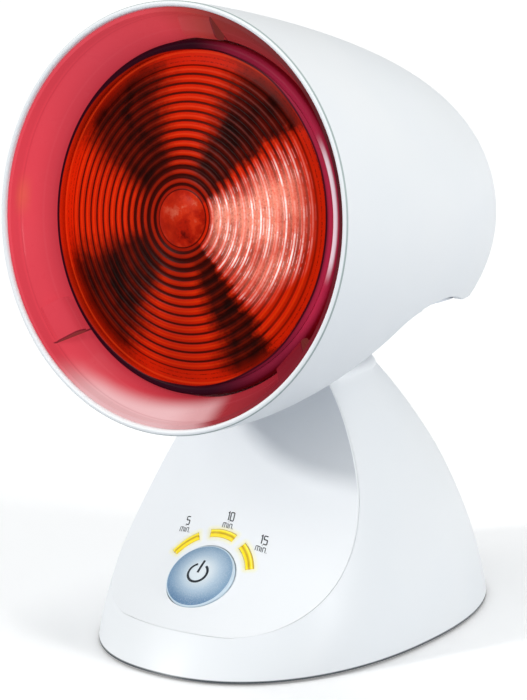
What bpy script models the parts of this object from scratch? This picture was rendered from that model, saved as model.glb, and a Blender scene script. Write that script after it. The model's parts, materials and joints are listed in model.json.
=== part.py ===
"""Infrared heat therapy lamp: a tilting head with a ringed heat bulb on a domed, timed base.

Metres, +Z up. The lamp faces -Y and is symmetric about the plane x = 0. The origin is on the
surface that the lamp stands on, under the middle of the base. The head is modelled in the frame
of its own axis: X across, Y up and Z forwards out of the mouth, from the middle of the rim.
"""
import math

import bmesh
import bpy

# Clearances and overruns shared by the whole lamp
GAP = 0.0003
OVERRUN = 0.004
MERGE = 0.00001

# Heat bulb: ringed lens, bowl, neck and screw cap, at depths behind the rim
BULB_RADIUS = 0.0605
BULB_RECESS = 0.0157
BULB_SEGMENTS = 30
LENS_CROWN_HEIGHT = 0.0070
LENS_EDGE = 0.0040
LENS_WALL = 0.0038
LENS_LAND = 0.0035
LENS_LAND_RADIUS = BULB_RADIUS - LENS_LAND
LENS_BAND = 0.0050
LENS_DOME_RADIUS = 0.0099
LENS_DOME_RISE = 0.0014
RING_FIRST_RADIUS = 0.0113
RING_COUNT = 13
RING_PITCH = (LENS_LAND_RADIUS - LENS_BAND - RING_FIRST_RADIUS) / RING_COUNT
RING_RELIEF = 0.0005
BOWL_LENGTH = 0.0740
BOWL_END_DEPTH = BULB_RECESS + LENS_EDGE + BOWL_LENGTH
BOWL_WALL = 0.0025
NECK_RADIUS = 0.0185
NECK_LENGTH = 0.0163
NECK_END_DEPTH = BOWL_END_DEPTH + NECK_LENGTH
CAP_RADIUS = 0.0132
CAP_LENGTH = 0.0280
CAP_SKIRT_LENGTH = 0.0040
CAP_THREAD_PITCH = 0.0036
CAP_THREAD_DEPTH = 0.0008
CAP_THREAD_TURNS = 4
CONTACT_RADIUS = 0.0045
CONTACT_HEIGHT = 0.0017
INSULATOR_HEIGHT = 0.0025
BULB_END_DEPTH = NECK_END_DEPTH + CAP_LENGTH + INSULATOR_HEIGHT + CONTACT_HEIGHT + GAP * 3
STEM_RADIUS = 0.0055
STEM_LENGTH = 0.0180
FILAMENT_RADIUS = 0.0006
FILAMENT_SPREAD = 0.0090
FILAMENT_LEG = 0.0200

# Lampholder behind the neck of the bulb
HOLDER_RADIUS = 0.0175
HOLDER_NECK_GAP = 0.0025
HOLDER_FRONT_DEPTH = NECK_END_DEPTH + CAP_SKIRT_LENGTH + HOLDER_NECK_GAP
HOLDER_FLOOR = 0.0026
HOLDER_BACK_DEPTH = BULB_END_DEPTH + HOLDER_FLOOR * 1.5
HOLDER_FLANGE_RADIUS = 0.0232
HOLDER_FLANGE = 0.0028
HOLDER_SCREW_RADIUS = 0.0204

# Head shell: a bullet-shaped cover round the bulb, whose mouth is at the rim
RIM_CLEARANCE = 0.0128
RIM_RADIUS = BULB_RADIUS + RIM_CLEARANCE
HEAD_TILT = math.radians(8.1)
SHELL_WALL = 0.0025
HEAD_BACK_ROOM = 0.0077
HEAD_LENGTH = HOLDER_BACK_DEPTH + HEAD_BACK_ROOM + SHELL_WALL
HEAD_TAPER_POWER = 1.286
HEAD_ROUND_POWER = 3.841
LIP_WALL = 0.0020
LIP_ROUND = 0.0009
HEAD_SEGMENTS = 40
HEAD_OUTER_ROWS = 10
HEAD_INNER_ROWS = 6

# Tilt axis under the head, behind the bowl of the bulb
PIVOT_BEHIND_BOWL = 0.0033
PIVOT_DEPTH = BOWL_END_DEPTH + PIVOT_BEHIND_BOWL

# Underside of the head: a slanted cut behind the rim, then a flat one level with the axis
COVER_WALL = 0.0020
HOLDER_CLEARANCE = 0.0007
CUT_START_DEPTH = 0.0150
CUT_START_INSET = 0.0048
CUT_START_DROP = RIM_RADIUS - CUT_START_INSET
CUT_SLOPE = math.radians(39.9)
CUT_FLAT_DROP = HOLDER_FLANGE_RADIUS + HOLDER_CLEARANCE + COVER_WALL
CUT_FILLET_RADIUS = 0.0300
GRIP_LEAD = 0.0050
GRIP_DEPTH = PIVOT_DEPTH - GRIP_LEAD
GRIP_HALF_LENGTH = 0.0210
GRIP_RISE = 0.0028

# Underside cover that closes the cut
COVER_BULB_CLEARANCE = 0.0035
COVER_FRONT_DEPTH = 0.0150
COVER_REAR_GAP = 0.0075
COVER_ROWS = 13
COVER_COLUMNS = 6
COVER_VENT_WIDTH = 0.0028
COVER_VENT_LENGTH = 0.0200
COVER_VENT_PITCH = 0.0065
COVER_VENT_COUNT = 3
COVER_VENT_DEPTH = 0.0480

# Vents in the back of the shell
BACK_VENT_HEIGHT = 0.0028
BACK_VENT_PITCH = 0.0070
BACK_VENT_COUNT = 5
BACK_VENT_REACH = 0.0210

# Liner from the lip to the bulb, with the three tabs that centre the bulb
LINER_LIP_DEPTH = 0.0012
LINER_FRONT_DEPTH = 0.0060
LINER_CONE_OVERLAP = 0.0013
LINER_CONE_DEPTH = BULB_RECESS + LINER_CONE_OVERLAP
LINER_BACK_OVERLAP = 0.0018
LINER_BACK_DEPTH = BULB_RECESS + LENS_EDGE + LINER_BACK_OVERLAP
LINER_WALL = 0.0013
LINER_BULB_GAP = 0.0009
TAB_ANGLES = (math.radians(0), math.radians(130), math.radians(-130))
TAB_WIDTH = 0.0140
TAB_FRONT_DEPTH = 0.0050
TAB_CREST_DEPTH = 0.0102
TAB_CREST_DROP = 0.0010
TAB_BULB_LEAD = 0.0011
TAB_BACK_DEPTH = BULB_RECESS - TAB_BULB_LEAD
TAB_BULB_GAP = 0.0008

# Plate that carries the lampholder, standing on the underside cover
PLATE_THICKNESS = 0.0012
PLATE_WIDTH_SHARE = 0.382
PLATE_HALF_WIDTH = RIM_RADIUS * PLATE_WIDTH_SHARE
PLATE_TOP_SHARE = 0.3956
PLATE_TOP = RIM_RADIUS * PLATE_TOP_SHARE
PLATE_FOOT = 0.0160
PLATE_SCREW_INSET = 0.0050
PLATE_SCREW_SPREAD = PLATE_HALF_WIDTH - PLATE_SCREW_INSET

# Screws
SCREW_RADIUS = 0.0013
SCREW_HEAD_RADIUS = 0.0027
SCREW_HEAD_HEIGHT = 0.0017
BOSS_RADIUS = 0.0040
COVER_SCREW_LENGTH = 0.0095
COVER_BOSS_HEIGHT = 0.0140
COVER_BOSS_RADIUS = 0.0056
COVER_SCREW_INSET = 0.0034
COVER_SCREW_LEAD = 0.0065
COVER_SCREW_TRAIL = 0.0290
COVER_SCREW_DEPTHS = (PIVOT_DEPTH - COVER_SCREW_LEAD, PIVOT_DEPTH + COVER_SCREW_TRAIL)

# Tilt hinge between the neck of the base and two cheeks of the underside cover
KNUCKLE_RADIUS = 0.0110
KNUCKLE_HALF_WIDTH = 0.0150
KNUCKLE_CLEARANCE = 0.0005
PIVOT_BACK = 0.014763
PIVOT_LIFT = 0.013006
PIVOT_DROP = CUT_FLAT_DROP + KNUCKLE_RADIUS + KNUCKLE_CLEARANCE
CHEEK_WALL = 0.0040
CHEEK_RADIUS = 0.0095
AXLE_RADIUS = 0.0030
AXLE_HEAD_RADIUS = 0.0055
AXLE_HEAD_HEIGHT = 0.0028
NUT_RADIUS = 0.0055
NUT_HEIGHT = 0.0030
WASHER_RADIUS = 0.0060
WASHER_THICKNESS = 0.0010
DETENT_RADIUS = 0.0086
DETENT_THICKNESS = 0.0030
DETENT_NOTCH_DEPTH = 0.0008
DETENT_STEP = math.radians(10)
DETENT_STEPS_DOWN = 1
DETENT_STEPS_UP = 3
POCKET_CLEARANCE = 0.0005
PAWL_WIDTH = 0.0022
PAWL_LENGTH = 0.0060
WIRE_PASSAGE_RADIUS = 0.0030
WIRE_PASSAGE_OFFSET = 0.0080

# Base: a dome of rounded sections
BASE_HALF_WIDTH = 0.0586
BASE_HALF_LENGTH = 0.0848
DOME_PEAK = 0.1151
DOME_TOP = 0.0965
DOME_TOP_ROUND = 0.0030
SIDE_RISE_POWER = 1.644
SIDE_ROUND_POWER = 1.460
FRONT_RISE_POWER = 1.172
FRONT_ROUND_POWER = 1.012
REAR_RISE_POWER = 1.034
REAR_ROUND_POWER = 1.473
FOOT_SECTION_POWER = 2.23
TOP_SECTION_POWER = 2.71
SECTION_BLEND_SHARE = 0.52
BASE_WALL = 0.0026
BASE_INSET_SHARE = 0.72
BASE_STAND_OFF = 0.0010
BASE_SEGMENTS = 40
BASE_ROWS = 8

# Front panel: a curved face let into the dome
PANEL_TOE_INSET = 0.0075
PANEL_TOE_FORWARD = BASE_HALF_LENGTH - PANEL_TOE_INSET
PANEL_TOE_HEIGHT = 0.0152
PANEL_RUN_SHARE = 0.97566
PANEL_RUN_LENGTH = BASE_HALF_LENGTH * PANEL_RUN_SHARE
PANEL_CURVE_HEIGHT = 0.0529
PANEL_CROWN_SHARE = 0.16627
PANEL_CROWN_DEPTH = BASE_HALF_LENGTH * PANEL_CROWN_SHARE
PANEL_CROWN_LOSS_SHARE = 0.143
PANEL_CROWN_HEIGHT = 0.0250
PANEL_CROWN_WIDTH_SHARE = 0.76792
PANEL_CROWN_HALF_WIDTH = BASE_HALF_WIDTH * PANEL_CROWN_WIDTH_SHARE
PANEL_WALL = 0.0020
PANEL_TOE_LIFT = 0.0003
PANEL_ROW_POWER = 1.5
PANEL_COLUMNS = 8
PANEL_ROWS = 12
LEDGE_WALL = 0.0015
OPENING_HALF_WIDTH = 0.0245
OPENING_LOW = 0.0155
OPENING_HIGH = 0.0240
OPENING_ROUND = 0.0040

# Controls on the panel, placed from the middle of the button
BUTTON_TOE_RISE = 0.0139
BUTTON_FLOOR_HEIGHT = PANEL_TOE_HEIGHT + BUTTON_TOE_RISE
BUTTON_RADIUS = 0.0130
BUTTON_EDGE_RISE = 0.0007
BUTTON_CROWN_HEIGHT = 0.0020
BUTTON_EDGE_ROUND = 0.0006
BUTTON_FLANGE = 0.0010
BUTTON_FLANGE_HEIGHT = 0.0010
BUTTON_STEM_RADIUS = 0.0025
BUTTON_STEM_LENGTH = 0.0030
BUTTON_TRAVEL = 0.0010
GUIDE_RADIUS = 0.0182
GUIDE_WIDTH = 0.0030
GUIDE_SPAN = math.radians(33)
GUIDE_STEP = math.radians(48)
GUIDE_LENGTH = 0.0075
GUIDE_PROUD = 0.0004
PLUNGER_RADIUS = 0.0017
PLUNGER_HEIGHT = 0.0016
SWITCH_SIZE = 0.0062
SWITCH_HEIGHT = 0.0034
BOARD_THICKNESS = 0.0016
BOARD_HALF_WIDTH = 0.0230
BOARD_LOW = 0.0150
BOARD_HIGH = 0.0230
POST_RADIUS = 0.0028
POST_SPREAD = 0.0195
POST_LOW = 0.0110
POST_HIGH = 0.0195

# Underside of the base
FLOOR_PLATE = 0.0022
FLOOR_PLATE_LIFT = 0.0003
FOOT_RADIUS = 0.0070
FOOT_SIDE_INSET = 0.0266
FOOT_SPREAD_X = BASE_HALF_WIDTH - FOOT_SIDE_INSET
FOOT_END_INSET = 0.0368
FOOT_SPREAD_Y = BASE_HALF_LENGTH - FOOT_END_INSET
SEAT_DEPTH = 0.0010
FOOT_ROUND = 0.0006
BASE_BOSS_HEIGHT = 0.0180
BASE_BOSS_ALONG = (-0.0220, 0.0340)
BASE_SCREW_LENGTH = 0.0100

# Supply board at the back of the base
SUPPLY_HALF_WIDTH = 0.0300
SUPPLY_FRONT = -0.0100
SUPPLY_BACK = 0.0440
SUPPLY_POST_HEIGHT = 0.0045
SUPPLY_SCREW_SPREAD = 0.0260
SUPPLY_SCREW_LENGTH = 0.0045
TRANSFORMER_SIZE = (0.0260, 0.0240, 0.0230)
TRANSFORMER_PLACE = (-0.0110, 0.0240)
RELAY_SIZE = (0.0150, 0.0190, 0.0155)
RELAY_PLACE = (0.0150, 0.0300)
TERMINAL_SIZE = (0.0220, 0.0090, 0.0110)
TERMINAL_PLACE = (0.0140, 0.0100)
CAPACITOR_RADIUS = 0.0050
CAPACITOR_HEIGHT = 0.0160
CAPACITOR_PLACE = (-0.0160, 0.0040)

# Cord inlet at the back of the base
INLET_HEIGHT = 0.0150
INLET_RADIUS = 0.0058
INLET_BORE_RADIUS = 0.0036
INLET_FLANGE = 0.0018
INLET_FLANGE_THICKNESS = 0.0018

COLOURS = {
    "housing_white": ((0.86, 0.88, 0.90), 0.32, 0.0),
    "panel_white": ((0.92, 0.93, 0.94), 0.18, 0.0),
    "cover_grey": ((0.78, 0.81, 0.84), 0.40, 0.0),
    "liner_red": ((0.62, 0.06, 0.09), 0.25, 0.0),
    "lens_red": ((0.75, 0.05, 0.01), 0.12, 0.0),
    "bulb_mirror": ((0.55, 0.53, 0.52), 0.15, 0.9),
    "bulb_brass": ((0.72, 0.60, 0.34), 0.30, 1.0),
    "glass_clear": ((0.80, 0.84, 0.86), 0.08, 0.0),
    "tungsten": ((0.35, 0.34, 0.33), 0.40, 1.0),
    "ceramic": ((0.90, 0.88, 0.84), 0.35, 0.0),
    "steel": ((0.60, 0.61, 0.62), 0.35, 1.0),
    "button_blue": ((0.30, 0.45, 0.58), 0.25, 0.3),
    "lamp_yellow": ((0.90, 0.72, 0.05), 0.30, 0.0),
    "rubber_black": ((0.03, 0.03, 0.03), 0.80, 0.0),
    "board_green": ((0.05, 0.22, 0.10), 0.50, 0.0),
    "plastic_black": ((0.05, 0.05, 0.06), 0.45, 0.0),
    "relay_blue": ((0.05, 0.16, 0.42), 0.40, 0.0),
}


def clear_scene():
    for item in list(bpy.data.objects):
        bpy.data.objects.remove(item, do_unlink=True)


def new_collection(name):
    collection = bpy.data.collections.new(name)
    bpy.context.scene.collection.children.link(collection)
    return collection


def make_materials():
    made = {}
    for name, (colour, roughness, metallic) in COLOURS.items():
        material = bpy.data.materials.new(name)
        material.use_nodes = True
        shader = material.node_tree.nodes["Principled BSDF"]
        shader.inputs["Base Color"].default_value = (*colour, 1.0)
        shader.inputs["Roughness"].default_value = roughness
        shader.inputs["Metallic"].default_value = metallic
        made[name] = material
    return made


clear_scene()
PARTS = new_collection("infrared_heat_lamp")
CUTTERS = new_collection("cutters")
MATERIALS = make_materials()


def add_empty(name, location, rotation=(0, 0, 0), parent=None):
    empty = bpy.data.objects.new(name, None)
    empty.location = location
    empty.rotation_euler = rotation
    empty.parent = parent
    PARTS.objects.link(empty)
    return empty


def add_part(name, mesh, colour, parent=None, location=(0, 0, 0), rotation=(0, 0, 0), sharp=30):
    """Links one sub-part, shaded smooth except at its sharp edges."""
    part = bpy.data.objects.new(name, mesh)
    part.location = location
    part.rotation_euler = rotation
    part.parent = parent
    mesh.materials.append(MATERIALS[colour])
    if len(mesh.polygons):
        mesh.shade_smooth()
        mesh.set_sharp_from_angle(angle=math.radians(sharp))
    PARTS.objects.link(part)
    return part


def add_guide(name, mesh, parent=None, location=(0, 0, 0), rotation=(0, 0, 0)):
    """Links a solid that only cuts, joins or trims a sub-part."""
    guide = bpy.data.objects.new(name, mesh)
    guide.location = location
    guide.rotation_euler = rotation
    guide.parent = parent
    guide.hide_render = True
    guide.display_type = "WIRE"
    CUTTERS.objects.link(guide)
    return guide


def combine(part, guide, operation):
    modifier = part.modifiers.new(f"{operation.lower()} {guide.name}", "BOOLEAN")
    modifier.operation = operation
    modifier.object = guide
    return modifier


def cut(part, guide):
    return combine(part, guide, "DIFFERENCE")


def join(part, guide):
    return combine(part, guide, "UNION")


def mesh_from(name, build):
    """Makes a mesh from what build draws in an empty bmesh."""
    bm = bmesh.new()
    build(bm)
    bmesh.ops.recalc_face_normals(bm, faces=bm.faces)
    mesh = bpy.data.meshes.new(name)
    bm.to_mesh(mesh)
    bm.free()
    return mesh


def box_mesh(name, low, high):
    def build(bm):
        made = bmesh.ops.create_cube(bm, size=1.0)["verts"]
        size = [b - a for a, b in zip(low, high)]
        middle = [(a + b) / 2 for a, b in zip(low, high)]
        bmesh.ops.scale(bm, vec=size, verts=made)
        bmesh.ops.translate(bm, vec=middle, verts=made)

    return mesh_from(name, build)


def cylinder_mesh(name, radius, low, high, segments=32, top_radius=None):
    """A cylinder or cone along Z from low to high."""

    def build(bm):
        made = bmesh.ops.create_cone(
            bm,
            cap_ends=True,
            segments=segments,
            radius1=radius,
            radius2=radius if top_radius is None else top_radius,
            depth=high - low,
        )["verts"]
        bmesh.ops.translate(bm, vec=(0, 0, (low + high) / 2), verts=made)

    return mesh_from(name, build)


def profile_mesh(name, points, closed):
    """A turned profile as (radius, height) points joined by edges."""
    mesh = bpy.data.meshes.new(name)
    edges = [(i, i + 1) for i in range(len(points) - 1)]
    if closed:
        edges.append((len(points) - 1, 0))
    mesh.from_pydata([(radius, 0, height) for radius, height in points], edges, [])
    return mesh


def screw_modifier(turned, segments):
    modifier = turned.modifiers.new("turn", "SCREW")
    modifier.axis = "Z"
    modifier.steps = segments
    modifier.render_steps = segments
    modifier.use_merge_vertices = True
    modifier.merge_threshold = MERGE
    modifier.use_smooth_shade = True
    return modifier


def add_turned(name, points, colour, parent=None, closed=False, segments=32, **place):
    part = add_part(name, profile_mesh(name, points, closed), colour, parent, **place)
    screw_modifier(part, segments)
    return part


def outline_mesh(name, points, low, high):
    """A flat outline filled and given thickness along Z, as a welded mesh."""
    curve = bpy.data.curves.new(name, "CURVE")
    curve.dimensions = "2D"
    curve.fill_mode = "BOTH"
    curve.extrude = (high - low) / 2
    spline = curve.splines.new("POLY")
    spline.points.add(len(points) - 1)
    for target, (x, y) in zip(spline.points, points):
        target.co = (x, y, 0, 1)
    spline.use_cyclic_u = True
    drawn = bpy.data.objects.new(name, curve)
    CUTTERS.objects.link(drawn)
    bpy.context.view_layer.update()
    mesh = bpy.data.meshes.new_from_object(drawn.evaluated_get(bpy.context.evaluated_depsgraph_get()))
    bpy.data.objects.remove(drawn, do_unlink=True)
    bm = bmesh.new()
    bm.from_mesh(mesh)
    bmesh.ops.remove_doubles(bm, verts=bm.verts, dist=MERGE)
    bmesh.ops.translate(bm, vec=(0, 0, (low + high) / 2), verts=bm.verts)
    bmesh.ops.recalc_face_normals(bm, faces=bm.faces)
    bm.to_mesh(mesh)
    bm.free()
    return mesh


def loft_mesh(name, rows, close_rows=False, cap_start=False, cap_end=False):
    """A skin over rows of points, each row with as many points as the next."""

    def build(bm):
        grid = [[bm.verts.new(point) for point in row] for row in rows]
        width = len(rows[0])
        for first, second in zip(grid, grid[1:]):
            for i in range(width if close_rows else width - 1):
                j = (i + 1) % width
                bm.faces.new((first[i], first[j], second[j], second[i]))
        if cap_start:
            bm.faces.new(grid[0])
        if cap_end:
            bm.faces.new(grid[-1])

    return mesh_from(name, build)


def add_bevel(part, width, segments=2, angle=40):
    modifier = part.modifiers.new("rounded edges", "BEVEL")
    modifier.width = width
    modifier.segments = segments
    modifier.limit_method = "ANGLE"
    modifier.angle_limit = math.radians(angle)
    return modifier


def arc_points(centre, radius, start, end, count):
    """Points of an arc, both ends included."""
    steps = [start + (end - start) * i / (count - 1) for i in range(count)]
    return [(centre[0] + radius * math.cos(a), centre[1] + radius * math.sin(a)) for a in steps]


def add_screw(name, parent, length, location, rotation=(0, 0, 0)):
    """A round-headed screw whose head rests on z = 0 and whose shank points down."""
    head = SCREW_HEAD_HEIGHT
    points = [
        (0, head),
        (SCREW_HEAD_RADIUS * 0.8, head * 0.8),
        (SCREW_HEAD_RADIUS, 0),
        (SCREW_RADIUS, 0),
        (SCREW_RADIUS, SCREW_RADIUS - length),
        (0, -length),
    ]
    return add_turned(
        name, points, "steel", parent, segments=8, location=location, rotation=rotation
    )


def add_flat_screw(name, parent, length, location, rotation=(0, 0, 0)):
    """A countersunk screw whose head ends level with z = 0 and whose shank points down."""
    sink = SCREW_HEAD_RADIUS - SCREW_RADIUS
    points = [
        (0, 0),
        (SCREW_HEAD_RADIUS, 0),
        (SCREW_RADIUS, -sink),
        (SCREW_RADIUS, SCREW_RADIUS - length),
        (0, -length),
    ]
    return add_turned(
        name, points, "steel", parent, segments=8, location=location, rotation=rotation
    )


# Shape of the head


def shell_radius(depth):
    """Outer radius of the bullet at a depth behind the rim."""
    share = min(max(depth / HEAD_LENGTH, 0), 1)
    return RIM_RADIUS * (1 - share**HEAD_TAPER_POWER) ** (1 / HEAD_ROUND_POWER)


def shell_inner_profile():
    """Radius and depth of the rows of the shell's inner face, from the lip to the back."""
    rows = []
    for depth in shell_depth_rows(HEAD_INNER_ROWS, LIP_ROUND, HEAD_LENGTH - SHELL_WALL):
        wall = LIP_WALL + (SHELL_WALL - LIP_WALL) * min(depth / LINER_FRONT_DEPTH, 1)
        outer_depth = min(depth * HEAD_LENGTH / (HEAD_LENGTH - SHELL_WALL), depth + SHELL_WALL)
        rows.append((shell_radius(outer_depth) - wall, depth))
    rows[-1] = (0, rows[-1][1])
    return rows


def shell_inner_radius(depth):
    """Room inside the shell at a depth, measured to the middle of its facets."""
    rows = shell_inner_profile()
    for (near_radius, near), (far_radius, far) in zip(rows, rows[1:]):
        if depth <= far:
            share = max(depth - near, 0) / (far - near)
            facet = math.cos(math.pi / HEAD_SEGMENTS)
            return (near_radius + (far_radius - near_radius) * share) * facet
    return 0


def shell_depth_rows(count, start, end):
    """Depths that lie closer together towards the back, where the bullet turns."""
    return [start + (end - start) * math.sin(math.pi / 2 * i / count) for i in range(count + 1)]


def bowl_radius(depth):
    """Outer radius of the bulb's bowl, a parabola that runs into the neck."""
    parabola = BULB_RADIUS * math.sqrt(max(BOWL_END_DEPTH - depth, 0) / BOWL_LENGTH)
    return max(parabola, NECK_RADIUS)


def cut_drop(depth):
    """How far below the axis the shell is cut at a depth, the fillet included."""
    slant = CUT_START_DROP - math.tan(CUT_SLOPE) * (depth - CUT_START_DEPTH)
    corner = CUT_START_DEPTH + (CUT_START_DROP - CUT_FLAT_DROP) / math.tan(CUT_SLOPE)
    setback = CUT_FILLET_RADIUS * math.tan(CUT_SLOPE / 2)
    start = corner - setback * math.cos(CUT_SLOPE)
    if depth <= start:
        return slant
    if depth >= corner + setback:
        return CUT_FLAT_DROP
    run = corner + setback - depth
    return CUT_FLAT_DROP + CUT_FILLET_RADIUS - math.sqrt(CUT_FILLET_RADIUS**2 - run**2)


def cover_drop(depth):
    """How far below the axis the middle of the underside cover lies at a depth."""
    wall = COVER_WALL / math.cos(CUT_SLOPE)
    around = bowl_radius(depth) + COVER_BULB_CLEARANCE
    if depth < LINER_BACK_DEPTH + COVER_BULB_CLEARANCE:
        around = max(around, BULB_RADIUS + LINER_BULB_GAP + LINER_WALL + GAP * 2)
    return max(around + wall, CUT_FLAT_DROP)


def cover_screw_places():
    """Across and depth of the four cover screws, whose bosses are half sunk in the shell."""
    places = []
    for depth in COVER_SCREW_DEPTHS:
        across = math.sqrt(shell_inner_radius(depth) ** 2 - CUT_FLAT_DROP**2) - COVER_SCREW_INSET
        places += [(-across, depth), (across, depth)]
    return places


PIVOT_Y = PIVOT_BACK
PIVOT_Z = DOME_TOP + PIVOT_LIFT


# Shape of the base


def dome_section(height):
    """Half width, front reach, rear reach and section power of the dome at a height."""
    share = min(height / DOME_PEAK, 1)
    half_width = BASE_HALF_WIDTH * (1 - share**SIDE_RISE_POWER) ** (1 / SIDE_ROUND_POWER)
    front = BASE_HALF_LENGTH * (1 - share**FRONT_RISE_POWER) ** (1 / FRONT_ROUND_POWER)
    rear = BASE_HALF_LENGTH * (1 - share**REAR_RISE_POWER) ** (1 / REAR_ROUND_POWER)
    blend = min(share / SECTION_BLEND_SHARE, 1)
    power = FOOT_SECTION_POWER + (TOP_SECTION_POWER - FOOT_SECTION_POWER) * blend
    return half_width, front, rear, power


def section_ring(height, inset=0):
    """One ring of the dome, drawn in by inset."""
    half_width, front, rear, power = dome_section(height)
    ring = []
    for i in range(BASE_SEGMENTS):
        angle = 2 * math.pi * (i + 0.5) / BASE_SEGMENTS
        across, along = math.cos(angle), math.sin(angle)
        reach = (front if along < 0 else rear) - inset
        x = (half_width - inset) * math.copysign(abs(across) ** (2 / power), across)
        y = reach * math.copysign(abs(along) ** (2 / power), along)
        ring.append((x, y, height))
    return ring


def wall_reach(along, height):
    """Half width of the dome at a distance along its length and a height."""
    half_width, front, rear, power = dome_section(height)
    share = abs(along) / (front if along < 0 else rear)
    return half_width * (1 - share**power) ** (1 / power)


def base_boss_places():
    """Middles of the four screw bosses, each half sunk in the side wall."""
    places = []
    for along in BASE_BOSS_ALONG:
        reach = wall_reach(along, plate_top() + BASE_BOSS_HEIGHT) - BASE_WALL - BOSS_RADIUS * 0.7
        places += [(-reach, along), (reach, along)]
    return places


def dome_rings(bottom, wall=0):
    """Rings from the bottom edge up to the rounded shoulder, drawn in and lowered by a wall."""
    shoulder = DOME_TOP - DOME_TOP_ROUND
    inset = wall * BASE_INSET_SHARE
    rings = []
    for i in range(BASE_ROWS + 1):
        height = bottom + (shoulder - bottom) * i / BASE_ROWS
        rings.append([(x, y, z - inset) for x, y, z in section_ring(height, inset)])
    if wall:
        return rings
    for angle in (math.pi / 4, math.pi / 2):
        drawn_in = DOME_TOP_ROUND * (1 - math.cos(angle))
        rise = DOME_TOP_ROUND * math.sin(angle)
        ring = section_ring(shoulder, drawn_in)
        rings.append([(x, y, shoulder + rise) for x, y, _ in ring])
    return rings


def panel_middle(height):
    """World y of the panel's middle line at a height."""
    rise = height - PANEL_TOE_HEIGHT
    run = PANEL_RUN_LENGTH * (1 - math.exp(-rise / PANEL_CURVE_HEIGHT))
    return -PANEL_TOE_FORWARD + run


def panel_crown(height):
    """How far the panel falls back at its reference half width."""
    return PANEL_CROWN_DEPTH - PANEL_CROWN_LOSS_SHARE * (height - PANEL_CROWN_HEIGHT)


def panel_y(x, height):
    return panel_middle(height) + panel_crown(height) * (x / PANEL_CROWN_HALF_WIDTH) ** 2


def panel_slopes(x, height):
    """Rates at which the panel falls back across and up."""
    across = 2 * panel_crown(height) * x / PANEL_CROWN_HALF_WIDTH**2
    toe_slope = PANEL_RUN_LENGTH / PANEL_CURVE_HEIGHT
    up = toe_slope * math.exp(-(height - PANEL_TOE_HEIGHT) / PANEL_CURVE_HEIGHT)
    up -= PANEL_CROWN_LOSS_SHARE * (x / PANEL_CROWN_HALF_WIDTH) ** 2
    return across, up


def dome_front(x, height):
    """World y of the dome's front at a distance from the middle, its rounded shoulder included."""
    shoulder = DOME_TOP - DOME_TOP_ROUND
    over = max(height - shoulder, 0)
    drawn_in = DOME_TOP_ROUND - math.sqrt(DOME_TOP_ROUND**2 - min(over, DOME_TOP_ROUND) ** 2)
    half_width, front, _, power = dome_section(min(height, shoulder))
    share = min(x / (half_width - drawn_in), 1)
    return (drawn_in - front) * (1 - share**power) ** (1 / power)


def panel_edge(height):
    """Half width of the panel at a height, where its face comes out through the dome."""
    low, high = 0, BASE_HALF_WIDTH
    for _ in range(40):
        middle = (low + high) / 2
        if panel_y(middle, height) > dome_front(middle, height):
            low = middle
        else:
            high = middle
    return low


def panel_rows(setback, growth):
    """Rows of points over the panel's face, set back square to it and grown at the edges."""
    low = PANEL_TOE_HEIGHT + PANEL_TOE_LIFT
    rows = []
    for j in range(PANEL_ROWS + 1):
        height = low + (DOME_TOP - low) * (j / PANEL_ROWS) ** PANEL_ROW_POWER
        half = panel_edge(height) + growth
        if j == 0:
            height -= growth
        if j == PANEL_ROWS and growth > 0:
            height += OVERRUN
        row = []
        for i in range(PANEL_COLUMNS + 1):
            x = half * (2 * i / PANEL_COLUMNS - 1)
            across, up = panel_slopes(x, height)
            lean = math.sqrt(1 + across**2 + up**2)
            row.append((x, panel_y(x, height) + setback * lean, height))
        rows.append(row)
    return rows


def panel_slab(name, near, far, growth):
    """The solid between two faces parallel to the panel, or all that lies in front of one."""

    def build(bm):
        back_rows = panel_rows(far, growth)
        if near is None:
            reach = BASE_HALF_LENGTH + PANEL_TOE_FORWARD
            front_rows = [[(x, -reach, z) for x, _, z in row] for row in back_rows]
        else:
            front_rows = panel_rows(near, growth)
        front = [[bm.verts.new(point) for point in row] for row in front_rows]
        back = [[bm.verts.new(point) for point in row] for row in back_rows]
        for grid in (front, back):
            for low, high in zip(grid, grid[1:]):
                for i in range(PANEL_COLUMNS):
                    bm.faces.new((low[i], low[i + 1], high[i + 1], high[i]))
        edge = grid_border(front)
        other = grid_border(back)
        for i in range(len(edge)):
            j = (i + 1) % len(edge)
            bm.faces.new((edge[i], edge[j], other[j], other[i]))

    return mesh_from(name, build)


def grid_border(grid):
    """The outer points of a grid in order around it."""
    right = [row[-1] for row in grid[1:]]
    left = [row[0] for row in grid[1:-1]]
    return list(grid[0]) + right + grid[-1][-2::-1] + left[::-1]


BUTTON_Y = panel_middle(BUTTON_FLOOR_HEIGHT)
PANEL_LEAN = math.atan2(1, panel_slopes(0, BUTTON_FLOOR_HEIGHT)[1])


def panel_rise(across, along):
    """Height of the panel's face over the plane that touches it at the button's middle."""
    x = across
    low, high = -PANEL_WALL, PANEL_WALL
    for _ in range(40):
        middle = (low + high) / 2
        y = BUTTON_Y + along * math.cos(PANEL_LEAN) - middle * math.sin(PANEL_LEAN)
        z = BUTTON_FLOOR_HEIGHT + along * math.sin(PANEL_LEAN) + middle * math.cos(PANEL_LEAN)
        if y > panel_y(x, z):
            low = middle
        else:
            high = middle
    return (low + high) / 2


# Frames that carry the moving pieces

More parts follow.
